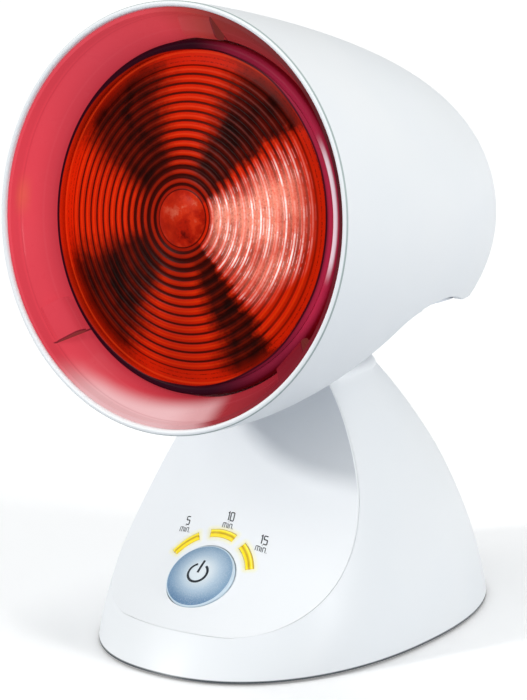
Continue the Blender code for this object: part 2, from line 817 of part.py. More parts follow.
RIM_Y = PIVOT_Y - PIVOT_DEPTH * math.cos(HEAD_TILT) + PIVOT_DROP * math.sin(HEAD_TILT)
RIM_Z = PIVOT_Z + PIVOT_DEPTH * math.sin(HEAD_TILT) + PIVOT_DROP * math.cos(HEAD_TILT)
tilt_pivot = add_empty("head_tilt_pivot", (0, PIVOT_Y, PIVOT_Z))
head_axis = add_empty(
    "head_axis",
    (0, RIM_Y - PIVOT_Y, RIM_Z - PIVOT_Z),
    (math.pi / 2 - HEAD_TILT, 0, 0),
    tilt_pivot,
)
controls = add_empty("controls", (0, BUTTON_Y, BUTTON_FLOOR_HEIGHT), (PANEL_LEAN, 0, 0))


# Head


def cut_prism():
    """The solid under the slanted and flat cuts, with the two grip recesses."""
    deep = HEAD_LENGTH + OVERRUN
    low = -RIM_RADIUS - OVERRUN
    corner = CUT_START_DEPTH + (CUT_START_DROP - CUT_FLAT_DROP) / math.tan(CUT_SLOPE)
    setback = CUT_FILLET_RADIUS * math.tan(CUT_SLOPE / 2)
    start = corner - setback * math.cos(CUT_SLOPE)
    toe = CUT_START_DEPTH - (-low - CUT_START_DROP) / math.tan(CUT_SLOPE)
    line = [(toe, low)]
    fillet_steps = 7
    for i in range(fillet_steps):
        depth = start + (corner + setback - start) * i / (fillet_steps - 1)
        line.append((depth, -cut_drop(depth)))
    grip_radius = (GRIP_HALF_LENGTH**2 + GRIP_RISE**2) / (2 * GRIP_RISE)
    half_angle = math.asin(GRIP_HALF_LENGTH / grip_radius)
    centre = (GRIP_DEPTH, -CUT_FLAT_DROP + GRIP_RISE - grip_radius)
    grip = arc_points(centre, grip_radius, math.pi / 2 + half_angle, math.pi / 2 - half_angle, 9)
    line = [point for point in line if point[0] < grip[0][0]]
    line += grip + [(deep, -CUT_FLAT_DROP), (deep, low)]
    return line


def in_head_plane(mesh, half_width):
    """Turns an outline of (depth, up) points into a solid across the head's frame."""
    for vertex in mesh.vertices:
        depth, up, across = vertex.co
        vertex.co = (across, up, -depth)
    bm = bmesh.new()
    bm.from_mesh(mesh)
    bmesh.ops.recalc_face_normals(bm, faces=bm.faces)
    bm.to_mesh(mesh)
    bm.free()
    return mesh


def make_head_shell():
    outer = shell_depth_rows(HEAD_OUTER_ROWS, LIP_ROUND, HEAD_LENGTH)
    points = [(radius, -depth) for radius, depth in reversed(shell_inner_profile())]
    lip_middle = shell_radius(0) - LIP_WALL / 2
    points.append((lip_middle - LIP_WALL / 4, 0))
    points.append((lip_middle + LIP_WALL / 4, 0))
    points += [(shell_radius(depth), -depth) for depth in outer[:-1]]
    points.append((0, -HEAD_LENGTH))
    shell = add_turned("head_shell", points, "housing_white", head_axis, segments=HEAD_SEGMENTS)
    half = RIM_RADIUS + OVERRUN
    prism = in_head_plane(outline_mesh("underside_cut", cut_prism(), -half, half), half)
    low = -CUT_FLAT_DROP + COVER_WALL + GAP
    for across, depth in cover_screw_places():
        boss = cylinder_mesh("cover_boss", COVER_BOSS_RADIUS, low, low + COVER_BOSS_HEIGHT, 12)
        place = (across, 0, -depth)
        join(shell, add_guide("cover_boss", boss, head_axis, place, (-math.pi / 2, 0, 0)))
    cut(shell, add_guide("underside_cut", prism, head_axis))
    for across, depth in cover_screw_places():
        low = -CUT_FLAT_DROP - OVERRUN
        high = low + OVERRUN + COVER_SCREW_LENGTH + GAP
        hole = cylinder_mesh("cover_screw_hole", SCREW_RADIUS + GAP, low, high, 8)
        place = (across, 0, -depth)
        cut(shell, add_guide("cover_screw_hole", hole, head_axis, place, (-math.pi / 2, 0, 0)))
    for i in range(BACK_VENT_COUNT):
        up = BACK_VENT_PITCH * (i - (BACK_VENT_COUNT - 1) / 2)
        half_length = math.sqrt(BACK_VENT_REACH**2 - up**2)
        low = (-half_length, up - BACK_VENT_HEIGHT / 2, -HEAD_LENGTH - OVERRUN)
        high = (half_length, up + BACK_VENT_HEIGHT / 2, OVERRUN - HEAD_LENGTH)
        cut(shell, add_guide("back_vent", box_mesh("back_vent", low, high), head_axis))
    return shell


def cover_section(depth, rise):
    """Points of the underside cover across the head at a depth, raised into the shell."""
    inner = shell_inner_radius(depth) - GAP * 1.5
    edge_drop = min(cut_drop(depth), inner * 0.985)
    edge = math.sqrt(inner**2 - edge_drop**2)
    middle_drop = max(cover_drop(depth), edge_drop)
    row = []
    for i in range(COVER_COLUMNS + 1):
        share = 2 * i / COVER_COLUMNS - 1
        drop = middle_drop + (edge_drop - middle_drop) * abs(share) ** 2.4
        row.append((share * edge, rise - drop, -depth))
    return row


def cover_rise(depth):
    """Upward thickness of the cover at a depth, more where it slants."""
    step = COVER_WALL / 2
    slope = (cut_drop(depth + step) - cut_drop(depth - step)) / (step * 2)
    return COVER_WALL * math.sqrt(1 + slope**2)


def make_underside_cover():
    rear = HEAD_LENGTH - SHELL_WALL - COVER_REAR_GAP
    run = rear - COVER_FRONT_DEPTH
    depths = [COVER_FRONT_DEPTH + run * i / COVER_ROWS for i in range(COVER_ROWS + 1)]
    loops = []
    for depth in depths:
        lower = cover_section(depth, 0)
        upper = cover_section(depth, cover_rise(depth))
        loops.append(lower + upper[::-1])
    mesh = loft_mesh("underside_cover", loops, True, True, True)
    cover = add_part("underside_cover", mesh, "cover_grey", head_axis)
    inner_face = KNUCKLE_HALF_WIDTH + GAP
    for side in (-1, 1):
        root = -CUT_FLAT_DROP + COVER_WALL / 2
        outline = [(PIVOT_DEPTH - CHEEK_RADIUS - COVER_WALL, root)]
        outline += arc_points((PIVOT_DEPTH, -PIVOT_DROP), CHEEK_RADIUS, math.pi, 2 * math.pi, 13)
        outline.append((PIVOT_DEPTH + CHEEK_RADIUS + COVER_WALL, root))
        near, far = sorted((side * inner_face, side * (inner_face + CHEEK_WALL)))
        cheek = in_head_plane(outline_mesh("cheek", outline, near, far), CHEEK_WALL)
        join(cover, add_guide("cheek", cheek, head_axis))
    bore_reach = inner_face + CHEEK_WALL + OVERRUN
    bore = cylinder_mesh("cheek_bore", AXLE_RADIUS + GAP, -bore_reach, bore_reach, 16)
    place = (0, -PIVOT_DROP, -PIVOT_DEPTH)
    cut(cover, add_guide("cheek_bore", bore, head_axis, place, (0, math.pi / 2, 0)))
    for across, depth in cover_screw_places():
        cut_screw_hole(cover, "cover_hole", (across, -depth))
    for side in (-1, 1):
        place = (side * PLATE_SCREW_SPREAD, -(plate_back_depth() + PLATE_FOOT / 2))
        cut_screw_hole(cover, "plate_hole", place)
    wire = cylinder_mesh("wire_hole", WIRE_PASSAGE_RADIUS, -OVERRUN, OVERRUN, 16)
    place = (-WIRE_PASSAGE_OFFSET, -CUT_FLAT_DROP, -PIVOT_DEPTH)
    cut(cover, add_guide("wire_hole", wire, head_axis, place, (-math.pi / 2, 0, 0)))
    for i in range(COVER_VENT_COUNT):
        for side in (-1, 1):
            x = side * (COVER_VENT_PITCH * i + COVER_VENT_PITCH)
            above = COVER_WALL * 2 - CUT_FLAT_DROP
            low = (x - COVER_VENT_WIDTH / 2, -RIM_RADIUS, -COVER_VENT_DEPTH - COVER_VENT_LENGTH)
            high = (x + COVER_VENT_WIDTH / 2, above, -COVER_VENT_DEPTH)
            cut(cover, add_guide("cover_vent", box_mesh("cover_vent", low, high), head_axis))
    return cover


def cut_screw_hole(cover, name, place):
    """A countersunk hole up through the flat of the underside cover."""
    location = (place[0], -CUT_FLAT_DROP, place[1])
    hole = cylinder_mesh(name, SCREW_RADIUS + GAP, -OVERRUN, OVERRUN, 8)
    cut(cover, add_guide(name, hole, head_axis, location, (-math.pi / 2, 0, 0)))
    sink = SCREW_HEAD_RADIUS - SCREW_RADIUS
    mouth = SCREW_HEAD_RADIUS + GAP + OVERRUN
    cone = cylinder_mesh(name, mouth, -OVERRUN, sink + GAP, 8, SCREW_RADIUS)
    cut(cover, add_guide(name, cone, head_axis, location, (-math.pi / 2, 0, 0)))


def plate_back_depth():
    return HOLDER_FRONT_DEPTH + HOLDER_FLANGE + GAP + PLATE_THICKNESS


def make_cover_screws():
    words = ("front_left", "front_right", "rear_left", "rear_right")
    for word, (across, depth) in zip(words, cover_screw_places()):
        place = (across, GAP - CUT_FLAT_DROP, -depth)
        length = COVER_SCREW_LENGTH - OVERRUN / 4
        add_flat_screw(f"cover_screw_{word}", head_axis, length, place, (math.pi / 2, 0, 0))


def liner_cone_radius():
    return BULB_RADIUS + LINER_BULB_GAP


def make_liner():
    lip = shell_inner_radius(LINER_LIP_DEPTH) - GAP
    front = shell_inner_radius(LINER_FRONT_DEPTH) - GAP
    neck = liner_cone_radius()
    points = [
        (lip, -LINER_LIP_DEPTH),
        (front, -LINER_FRONT_DEPTH - LINER_WALL * 2),
        (neck + LINER_WALL, -LINER_CONE_DEPTH - LINER_WALL),
        (neck + LINER_WALL, -LINER_BACK_DEPTH),
        (neck, -LINER_BACK_DEPTH),
        (neck, -LINER_CONE_DEPTH),
        (front - LINER_WALL, -LINER_FRONT_DEPTH),
        (lip - LINER_WALL, -LINER_LIP_DEPTH),
    ]
    liner = add_turned(
        "liner_ring", points, "liner_red", head_axis, closed=True, segments=HEAD_SEGMENTS
    )
    inner = BULB_RADIUS + TAB_BULB_GAP - GAP
    slope = (front - neck) / (LINER_CONE_DEPTH - LINER_FRONT_DEPTH)
    for angle in TAB_ANGLES:
        front_radius = front - slope * (TAB_FRONT_DEPTH + LINER_WALL - LINER_FRONT_DEPTH)
        outline = [
            (inner, -TAB_BACK_DEPTH),
            (neck + LINER_WALL, -TAB_BACK_DEPTH),
            (front_radius - LINER_WALL / 2, -TAB_FRONT_DEPTH - LINER_WALL),
            (front_radius - LINER_WALL * 2, -TAB_FRONT_DEPTH - LINER_WALL),
            (inner + TAB_CREST_DROP, -TAB_CREST_DEPTH),
            (inner, -TAB_BACK_DEPTH + LINER_WALL),
        ]
        mesh = outline_mesh("centring_tab", outline, -TAB_WIDTH / 2, TAB_WIDTH / 2)
        for vertex in mesh.vertices:
            radius, depth, across = vertex.co
            vertex.co = (across, radius, depth)
        flip = bmesh.new()
        flip.from_mesh(mesh)
        bmesh.ops.recalc_face_normals(flip, faces=flip.faces)
        flip.to_mesh(mesh)
        flip.free()
        join(liner, add_guide("centring_tab", mesh, head_axis, rotation=(0, 0, -angle)))
    return liner


# Bulb


def lens_front(radius):
    """Height of the plain lens face in front of the rim plane."""
    return LENS_CROWN_HEIGHT * (1 - (radius / LENS_LAND_RADIUS) ** 2) - BULB_RECESS


def make_lens():
    """The pressed lens: a middle dome and concentric rings on a crowned face."""
    points = [
        (0, lens_front(0) + LENS_DOME_RISE),
        (LENS_DOME_RADIUS * 0.5, lens_front(LENS_DOME_RADIUS * 0.5) + LENS_DOME_RISE * 0.8),
        (LENS_DOME_RADIUS * 0.85, lens_front(LENS_DOME_RADIUS * 0.85) + LENS_DOME_RISE * 0.4),
        (LENS_DOME_RADIUS, lens_front(LENS_DOME_RADIUS)),
    ]
    for i in range(RING_COUNT):
        valley = RING_FIRST_RADIUS + RING_PITCH * i
        crest = valley + RING_PITCH / 2
        points.append((valley, lens_front(valley)))
        points.append((crest, lens_front(crest) + RING_RELIEF))
    last = RING_FIRST_RADIUS + RING_PITCH * RING_COUNT
    points.append((last, lens_front(last)))
    points.append((LENS_LAND_RADIUS, lens_front(LENS_LAND_RADIUS)))
    edge_round = (BULB_RADIUS - LENS_LAND_RADIUS) / 3
    points.append((BULB_RADIUS - edge_round, -BULB_RECESS - edge_round / 2))
    points.append((BULB_RADIUS, -BULB_RECESS - edge_round * 1.5))
    points.append((BULB_RADIUS, -BULB_RECESS - LENS_EDGE))
    points.append((LENS_LAND_RADIUS, -BULB_RECESS - LENS_EDGE))
    back_steps = 3
    for i in range(1, back_steps + 1):
        radius = LENS_LAND_RADIUS * (1 - i / back_steps)
        points.append((radius, lens_front(radius) - LENS_WALL))
    return add_turned("bulb_lens", points, "lens_red", head_axis, segments=BULB_SEGMENTS, sharp=60)


def make_bowl():
    """The mirrored glass bowl, open at the lens and at the end of the neck."""
    mouth = BULB_RECESS + LENS_EDGE + GAP
    spacing_shares = (0, 0.18, 0.36, 0.54, 0.66, 0.73, 1)
    outer = [mouth + (NECK_END_DEPTH - mouth) * share for share in spacing_shares]
    inner = [outer[i] for i in (6, 5, 3, 1, 0)]
    points = [(bowl_radius(depth), -depth) for depth in outer]
    points += [(bowl_radius(depth) - BOWL_WALL, -depth) for depth in inner]
    return add_turned(
        "bulb_bowl", points, "bulb_mirror", head_axis, closed=True, segments=BULB_SEGMENTS, sharp=60
    )


def cap_start():
    return NECK_END_DEPTH + GAP


def make_cap():
    """The screw cap with its rolled thread, then the insulator and the end contact."""
    start = cap_start()
    points = [
        (0, -start),
        (NECK_RADIUS, -start),
        (NECK_RADIUS, -start - CAP_SKIRT_LENGTH / 3),
        (CAP_RADIUS - CAP_THREAD_DEPTH, -start - CAP_SKIRT_LENGTH),
    ]
    thread = start + CAP_SKIRT_LENGTH + CAP_THREAD_PITCH / 2
    for i in range(CAP_THREAD_TURNS):
        crest = thread + CAP_THREAD_PITCH * i
        points.append((CAP_RADIUS, -crest))
        points.append((CAP_RADIUS - CAP_THREAD_DEPTH, -crest - CAP_THREAD_PITCH / 2))
    end = start + CAP_LENGTH
    points.append((CAP_RADIUS - CAP_THREAD_DEPTH, -end + CAP_THREAD_PITCH))
    points.append((CAP_RADIUS * 0.7, -end))
    points.append((0, -end))
    add_turned("bulb_cap", points, "bulb_brass", head_axis, segments=16, sharp=60)
    top = end + GAP
    insulator = [
        (0, -top),
        (CAP_RADIUS * 0.68, -top),
        (CONTACT_RADIUS, -top - INSULATOR_HEIGHT),
        (0, -top - INSULATOR_HEIGHT),
    ]
    add_turned("cap_insulator", insulator, "plastic_black", head_axis, segments=16)
    face = top + INSULATOR_HEIGHT + GAP
    contact = [
        (0, -face),
        (CONTACT_RADIUS, -face),
        (CONTACT_RADIUS * 0.8, -face - CONTACT_HEIGHT),
        (0, -face - CONTACT_HEIGHT),
    ]
    add_turned("cap_contact", contact, "steel", head_axis, segments=12)
    return face + CONTACT_HEIGHT


def make_filament():
    """A glass stem in the neck and the wire that it carries."""
    top = NECK_END_DEPTH - STEM_LENGTH
    points = [
        (0, -top),
        (STEM_RADIUS * 0.7, -top),
        (STEM_RADIUS, -top - STEM_RADIUS),
        (STEM_RADIUS, -NECK_END_DEPTH),
        (0, -NECK_END_DEPTH),
    ]
    add_turned("filament_stem", points, "glass_clear", head_axis, segments=12)
    foot = top - GAP - FILAMENT_RADIUS
    high = foot - FILAMENT_LEG
    route = [(-STEM_RADIUS * 0.5, -foot), (-FILAMENT_SPREAD, -high)]
    arc = arc_points((0, -high), FILAMENT_SPREAD, math.pi, 0, 9)
    route += arc[1:-1]
    route += [(FILAMENT_SPREAD, -high), (STEM_RADIUS * 0.5, -foot)]
    curve = bpy.data.curves.new("filament", "CURVE")
    curve.dimensions = "3D"
    curve.bevel_depth = FILAMENT_RADIUS
    curve.bevel_resolution = 1
    curve.render_resolution_u = 0
    curve.use_fill_caps = True
    spline = curve.splines.new("POLY")
    spline.points.add(len(route) - 1)
    for target, (across, forward) in zip(spline.points, route):
        target.co = (across, 0, forward, 1)
    curve.materials.append(MATERIALS["tungsten"])
    filament = bpy.data.objects.new("filament", curve)
    filament.parent = head_axis
    PARTS.objects.link(filament)


# Lampholder


def make_lampholder(contact_depth):
    """The ceramic holder, its spring contact, and the steel plate and screws that carry it."""
    front = HOLDER_FRONT_DEPTH
    bore = CAP_RADIUS + GAP * 1.5
    blade = 0.5 * HOLDER_FLOOR
    floor = contact_depth + blade
    back = floor + HOLDER_FLOOR
    points = [
        (0, -floor),
        (bore, -floor),
        (bore, -front),
        (HOLDER_FLANGE_RADIUS, -front),
        (HOLDER_FLANGE_RADIUS, -front - HOLDER_FLANGE),
        (HOLDER_RADIUS, -front - HOLDER_FLANGE),
        (HOLDER_RADIUS, -back + HOLDER_FLOOR / 2),
        (HOLDER_RADIUS - HOLDER_FLOOR / 2, -back),
        (0, -back),
    ]
    holder = add_turned("lampholder", points, "ceramic", head_axis, segments=20)
    contact = box_mesh(
        "holder_contact",
        (-CONTACT_RADIUS, -CONTACT_RADIUS / 2, -floor + GAP),
        (CONTACT_RADIUS, CONTACT_RADIUS / 2, -contact_depth - GAP),
    )
    add_part("holder_contact", contact, "bulb_brass", head_axis)
    plate_front = front + HOLDER_FLANGE + GAP
    plate_back = plate_back_depth()
    low = -CUT_FLAT_DROP + COVER_WALL + GAP
    wall = box_mesh(
        "holder_plate",
        (-PLATE_HALF_WIDTH, low, -plate_back),
        (PLATE_HALF_WIDTH, PLATE_TOP, -plate_front),
    )
    plate = add_part("holder_plate", wall, "steel", head_axis)
    foot = box_mesh(
        "plate_foot",
        (-PLATE_HALF_WIDTH, low, -plate_back - PLATE_FOOT),
        (PLATE_HALF_WIDTH, low + PLATE_THICKNESS, -plate_front),
    )
    join(plate, add_guide("plate_foot", foot, head_axis))
    hole = cylinder_mesh(
        "holder_hole", HOLDER_RADIUS + GAP, -plate_back - OVERRUN, -plate_front + OVERRUN, 20
    )
    cut(plate, add_guide("holder_hole", hole, head_axis))
    for side, word in ((-1, "left"), (1, "right")):
        place = (side * HOLDER_SCREW_RADIUS, 0, 0)
        drill = cylinder_mesh(
            "flange_hole", SCREW_RADIUS + GAP, -plate_back - OVERRUN, -front + OVERRUN, 8
        )
        guide = add_guide("flange_hole", drill, head_axis, place)
        cut(holder, guide)
        cut(plate, guide)
        seat = (place[0], 0, -front + GAP)
        length = plate_back + SCREW_HEAD_RADIUS - front
        add_screw(f"holder_screw_{word}", head_axis, length, seat)
        foot_place = (side * PLATE_SCREW_SPREAD, low + PLATE_THICKNESS / 2,
                      -plate_back - PLATE_FOOT / 2)
        drill = cylinder_mesh("foot_hole", SCREW_RADIUS + GAP, -OVERRUN, OVERRUN, 8)
        cut(plate, add_guide("foot_hole", drill, head_axis, foot_place, (-math.pi / 2, 0, 0)))
        seat = (foot_place[0], GAP - CUT_FLAT_DROP, foot_place[2])
        length = COVER_WALL + PLATE_THICKNESS + SCREW_HEAD_RADIUS
        add_flat_screw(f"plate_screw_{word}", head_axis, length, seat, (math.pi / 2, 0, 0))


# Tilt hinge


def make_hinge():
    """Axle bolt, spring washer, nut and the notched disc, all turning with the head."""
    face = KNUCKLE_HALF_WIDTH + GAP + CHEEK_WALL
    head_start = face + GAP
    washer_start = face + GAP
    nut_start = washer_start + WASHER_THICKNESS + GAP
    nut_end = nut_start + NUT_HEIGHT
    place = (0, -PIVOT_DROP, -PIVOT_DEPTH)
    along_x = (0, math.pi / 2, 0)
    points = [
        (0, nut_end + GAP),
        (AXLE_RADIUS, nut_end + GAP),
        (AXLE_RADIUS, -head_start),
        (AXLE_HEAD_RADIUS, -head_start),
        (AXLE_HEAD_RADIUS, -head_start - AXLE_HEAD_HEIGHT * 0.6),
        (AXLE_HEAD_RADIUS * 0.7, -head_start - AXLE_HEAD_HEIGHT),
        (0, -head_start - AXLE_HEAD_HEIGHT),
    ]
    add_turned("tilt_axle", points, "steel", head_axis, segments=16, location=place, rotation=along_x)
    bore = AXLE_RADIUS + GAP
    washer = [
        (WASHER_RADIUS, washer_start + WASHER_THICKNESS),
        (WASHER_RADIUS, washer_start + WASHER_THICKNESS / 2),
        (bore, washer_start),
        (bore, washer_start + WASHER_THICKNESS / 2),
    ]
    add_turned(
        "spring_washer", washer, "steel", head_axis, closed=True, segments=16,
        location=place, rotation=along_x,
    )
    nut = add_part(
        "axle_nut", cylinder_mesh("axle_nut", NUT_RADIUS, nut_start, nut_end, 6), "steel",
        head_axis, place, along_x,
    )
    bore_mesh = cylinder_mesh("nut_bore", bore, nut_start - OVERRUN, nut_end + OVERRUN, 16)
    cut(nut, add_guide("nut_bore", bore_mesh, head_axis, place, along_x))
    disc_end = KNUCKLE_HALF_WIDTH
    disc_start = disc_end - DETENT_THICKNESS
    outline = detent_outline()
    disc = add_part(
        "detent_disc", outline_mesh("detent_disc", outline, disc_start, disc_end), "steel",
        head_axis, place, along_x,
    )
    disc_bore = cylinder_mesh("disc_bore", bore, disc_start - OVERRUN, disc_end + OVERRUN, 16)
    cut(disc, add_guide("disc_bore", disc_bore, head_axis, place, along_x))


def detent_outline():
    """A round disc with one notch for each tilt setting, the resting one straight down."""
    # In the disc's plane X points to the head's rear and Y up, so straight down leans with it.
    down = HEAD_TILT - math.pi / 2
    angles = [down + DETENT_STEP * i for i in range(-DETENT_STEPS_DOWN, DETENT_STEPS_UP + 1)]
    points = []
    for angle in angles:
        half = DETENT_STEP / 4
        for offset, drop in ((-half, 0), (0, DETENT_NOTCH_DEPTH), (half, 0)):
            radius = DETENT_RADIUS - drop
            points.append((radius * math.cos(angle + offset), radius * math.sin(angle + offset)))
    start = angles[-1] + DETENT_STEP / 2
    end = angles[0] - DETENT_STEP / 2 + 2 * math.pi
    points += arc_points((0, 0), DETENT_RADIUS, start, end, 18)
    return points


# Base


def make_base_shell():
    setback = PANEL_WALL + GAP
    bottom = BASE_STAND_OFF
    mesh = loft_mesh("base_shell", dome_rings(bottom), True, True, True)
    shell = add_part("base_shell", mesh, "housing_white")
    cut(shell, add_guide("panel_recess", panel_slab("panel_recess", None, setback, GAP)))
    hollow = loft_mesh("dome_hollow", dome_rings(bottom, BASE_WALL), True, True, True)
    cavity = add_guide("dome_hollow", hollow)
    ledge = panel_slab("panel_ledge", None, setback + LEDGE_WALL, LEDGE_WALL)
    cut(cavity, add_guide("panel_ledge", ledge))
    cut(shell, cavity)
    opening = box_mesh(
        "control_opening",
        (-OPENING_HALF_WIDTH, -OPENING_LOW, -OPENING_LOW),
        (OPENING_HALF_WIDTH, OPENING_HIGH, OPENING_LOW),
    )
    hole = add_guide("control_opening", opening, controls)
    add_bevel(hole, OPENING_ROUND, 1)
    cut(shell, hole)
    for x, y in base_boss_places():
        low = plate_top() + GAP
        boss = cylinder_mesh("base_boss", BOSS_RADIUS, low, low + BASE_BOSS_HEIGHT, 12)
        join(shell, add_guide("base_boss", boss, location=(x, y, 0)))
    join(shell, make_neck())
    along_x = (0, math.pi / 2, 0)
    pivot = (0, PIVOT_Y, PIVOT_Z)
    reach = KNUCKLE_HALF_WIDTH + OVERRUN
    bore = cylinder_mesh("knuckle_bore", AXLE_RADIUS + GAP, -reach, reach, 16)
    cut(shell, add_guide("knuckle_bore", bore, location=pivot, rotation=along_x))
    pocket_start = KNUCKLE_HALF_WIDTH - DETENT_THICKNESS - POCKET_CLEARANCE
    pocket = cylinder_mesh("detent_pocket", DETENT_RADIUS + POCKET_CLEARANCE, pocket_start, reach, 20)
    cut(shell, add_guide("detent_pocket", pocket, location=pivot, rotation=along_x))
    pawl = pawl_box("pawl_pocket", POCKET_CLEARANCE, OVERRUN)
    cut(shell, add_guide("pawl_pocket", pawl))
    low = DOME_TOP - BASE_WALL - OVERRUN
    high = PIVOT_Z + KNUCKLE_RADIUS + OVERRUN
    wires = cylinder_mesh("wire_passage", WIRE_PASSAGE_RADIUS, low, high, 16)
    cut(shell, add_guide("wire_passage", wires, location=(-WIRE_PASSAGE_OFFSET, PIVOT_Y, 0)))
    for x, y in base_boss_places():
        top = plate_bottom() + BASE_SCREW_LENGTH + GAP
        hole = cylinder_mesh("base_screw_hole", SCREW_RADIUS + GAP, 0, top, 8)
        cut(shell, add_guide("base_screw_hole", hole, location=(x, y, 0)))
    inlet = cylinder_mesh("inlet_hole", INLET_RADIUS + GAP, -BASE_WALL * 3, BASE_WALL * 3, 20)
    cut(shell, add_guide("inlet_hole", inlet, **inlet_place()))
    return shell


def inlet_place():
    """Where the cord inlet sits, square to the back wall at its height."""
    rear = dome_section(INLET_HEIGHT)[2]
    step = BASE_WALL
    above = dome_section(INLET_HEIGHT + step)[2]
    below = dome_section(INLET_HEIGHT - step)[2]
    lean = math.atan2(below - above, step * 2)
    return {"location": (0, rear, INLET_HEIGHT), "rotation": (lean - math.pi / 2, 0, 0)}


def make_neck():
    """The knuckle and the neck below it, as one solid that joins the dome's shoulder."""
    foot = DOME_TOP - BASE_WALL / 2 - PIVOT_Z
    outline = arc_points((0, 0), KNUCKLE_RADIUS, 0, math.pi, 15)
    outline += [(-KNUCKLE_RADIUS - BASE_WALL / 2, foot), (KNUCKLE_RADIUS + BASE_WALL / 2, foot)]
    mesh = outline_mesh("neck", outline, -KNUCKLE_HALF_WIDTH, KNUCKLE_HALF_WIDTH)
    for vertex in mesh.vertices:
        along, up, across = vertex.co
        vertex.co = (across, along, up)
    bm = bmesh.new()
    bm.from_mesh(mesh)
    bmesh.ops.recalc_face_normals(bm, faces=bm.faces)
    bm.to_mesh(mesh)
    bm.free()
    return add_guide("neck", mesh, location=(0, PIVOT_Y, PIVOT_Z))


def pawl_box(name, clearance, open_side):
    """The space of the pawl under the disc, opened to the knuckle's side for its pocket."""
    top = PIVOT_Z - DETENT_RADIUS - GAP
    x_far = KNUCKLE_HALF_WIDTH + open_side
    x_near = KNUCKLE_HALF_WIDTH - DETENT_THICKNESS
    low = (x_near - clearance, PIVOT_Y - PAWL_LENGTH / 2 - clearance, top - PAWL_WIDTH - clearance)
    high = (x_far, PIVOT_Y + PAWL_LENGTH / 2 + clearance, top + clearance)
    return box_mesh(name, low, high)


def make_pawl():
    """The sprung steel pawl whose nose faces the disc's notches."""
    pawl = add_part("detent_pawl", pawl_box("detent_pawl", 0, 0), "steel")
    add_bevel(pawl, PAWL_WIDTH / 4, 1)


def make_front_panel():
    """The glossy panel with its button hole, light slots and board posts."""
    slab = panel_slab("front_panel", 0, PANEL_WALL, 0)
    panel = add_part("front_panel", slab, "panel_white")
    board_top = -board_drop() + GAP
    for x in (-POST_SPREAD, POST_SPREAD):
        for y in (-POST_LOW, POST_HIGH):
            high = panel_rise(x, y) - PANEL_WALL / 2
            post = cylinder_mesh("board_post", POST_RADIUS, board_top, high, 12)
            join(panel, add_guide("board_post", post, controls, (x, y, 0)))
    deep = button_skirt() + BUTTON_FLANGE_HEIGHT
    hole = cylinder_mesh("button_hole", BUTTON_RADIUS + GAP, -deep, deep, 28)
    cut(panel, add_guide("button_hole", hole, controls))
    for index in range(-1, 2):
        slot = outline_mesh("light_slot", guide_outline(index, GAP), -deep, deep)
        cut(panel, add_guide("light_slot", slot, controls))
    for x in (-POST_SPREAD, POST_SPREAD):
        for y in (-POST_LOW, POST_HIGH):
            hole = cylinder_mesh(
                "post_hole", SCREW_RADIUS + GAP, board_top - OVERRUN, -PANEL_WALL * 3, 8
            )
            cut(panel, add_guide("post_hole", hole, controls, (x, y, 0)))
    return panel


def guide_outline(index, growth):
    """An arc-shaped window beside the button, one step of angle apart from the next."""
    middle = math.pi / 2 - GUIDE_STEP * index
    inner = GUIDE_RADIUS - GUIDE_WIDTH / 2 - growth
    outer = GUIDE_RADIUS + GUIDE_WIDTH / 2 + growth
    half = GUIDE_SPAN / 2 + growth / GUIDE_RADIUS
    points = arc_points((0, 0), outer, middle - half, middle + half, 7)
    points += arc_points((0, 0), inner, middle + half, middle - half, 7)
    return points


def make_light_guides():
    for index, word in zip(range(-1, 2), ("five", "ten", "fifteen")):
        middle = math.pi / 2 - GUIDE_STEP * index
        centre = (GUIDE_RADIUS * math.cos(middle), GUIDE_RADIUS * math.sin(middle))
        top = panel_rise(*centre) + GUIDE_PROUD
        mesh = outline_mesh("light_guide", guide_outline(index, 0), top - GUIDE_LENGTH, top)
        for vertex in mesh.vertices:
            x, y, z = vertex.co
            if z > top - GUIDE_LENGTH / 2:
                vertex.co.z = panel_rise(x, y) + GUIDE_PROUD
        add_part(f"light_guide_{word}", mesh, "lamp_yellow", controls)


def button_skirt():
    """Depth of the button's flange, just under the panel at the flange's sides."""
    return PANEL_WALL / math.cos(PANEL_LEAN) + GAP - panel_rise(BUTTON_RADIUS + BUTTON_FLANGE, 0)


def stem_end():
    return button_skirt() + BUTTON_FLANGE_HEIGHT + BUTTON_STEM_LENGTH


def board_drop():
    """Depth of the board's front face behind the plane that touches the panel."""
    return stem_end() + GAP + PLUNGER_HEIGHT + SWITCH_HEIGHT + GAP


def make_button():
    """The round button with its flange and stem, and the switch plunger that it pushes."""
    edge = BUTTON_EDGE_RISE
    skirt = button_skirt()
    points = [
        (0, edge + BUTTON_CROWN_HEIGHT),
        (BUTTON_RADIUS * 0.35, edge + BUTTON_CROWN_HEIGHT * 0.9),
        (BUTTON_RADIUS * 0.65, edge + BUTTON_CROWN_HEIGHT * 0.62),
        (BUTTON_RADIUS, edge - BUTTON_EDGE_ROUND / 2),
        (BUTTON_RADIUS, -skirt),
        (BUTTON_RADIUS + BUTTON_FLANGE, -skirt),
        (BUTTON_RADIUS + BUTTON_FLANGE, -skirt - BUTTON_FLANGE_HEIGHT),
        (BUTTON_STEM_RADIUS, -skirt - BUTTON_FLANGE_HEIGHT),
        (BUTTON_STEM_RADIUS, -stem_end()),
        (0, -stem_end()),
    ]
    add_turned("power_button", points, "button_blue", controls, segments=28)
    top = -stem_end() - GAP
    plunger = cylinder_mesh("switch_plunger", PLUNGER_RADIUS, top - PLUNGER_HEIGHT, top, 16)
    add_part("switch_plunger", plunger, "plastic_black", controls)


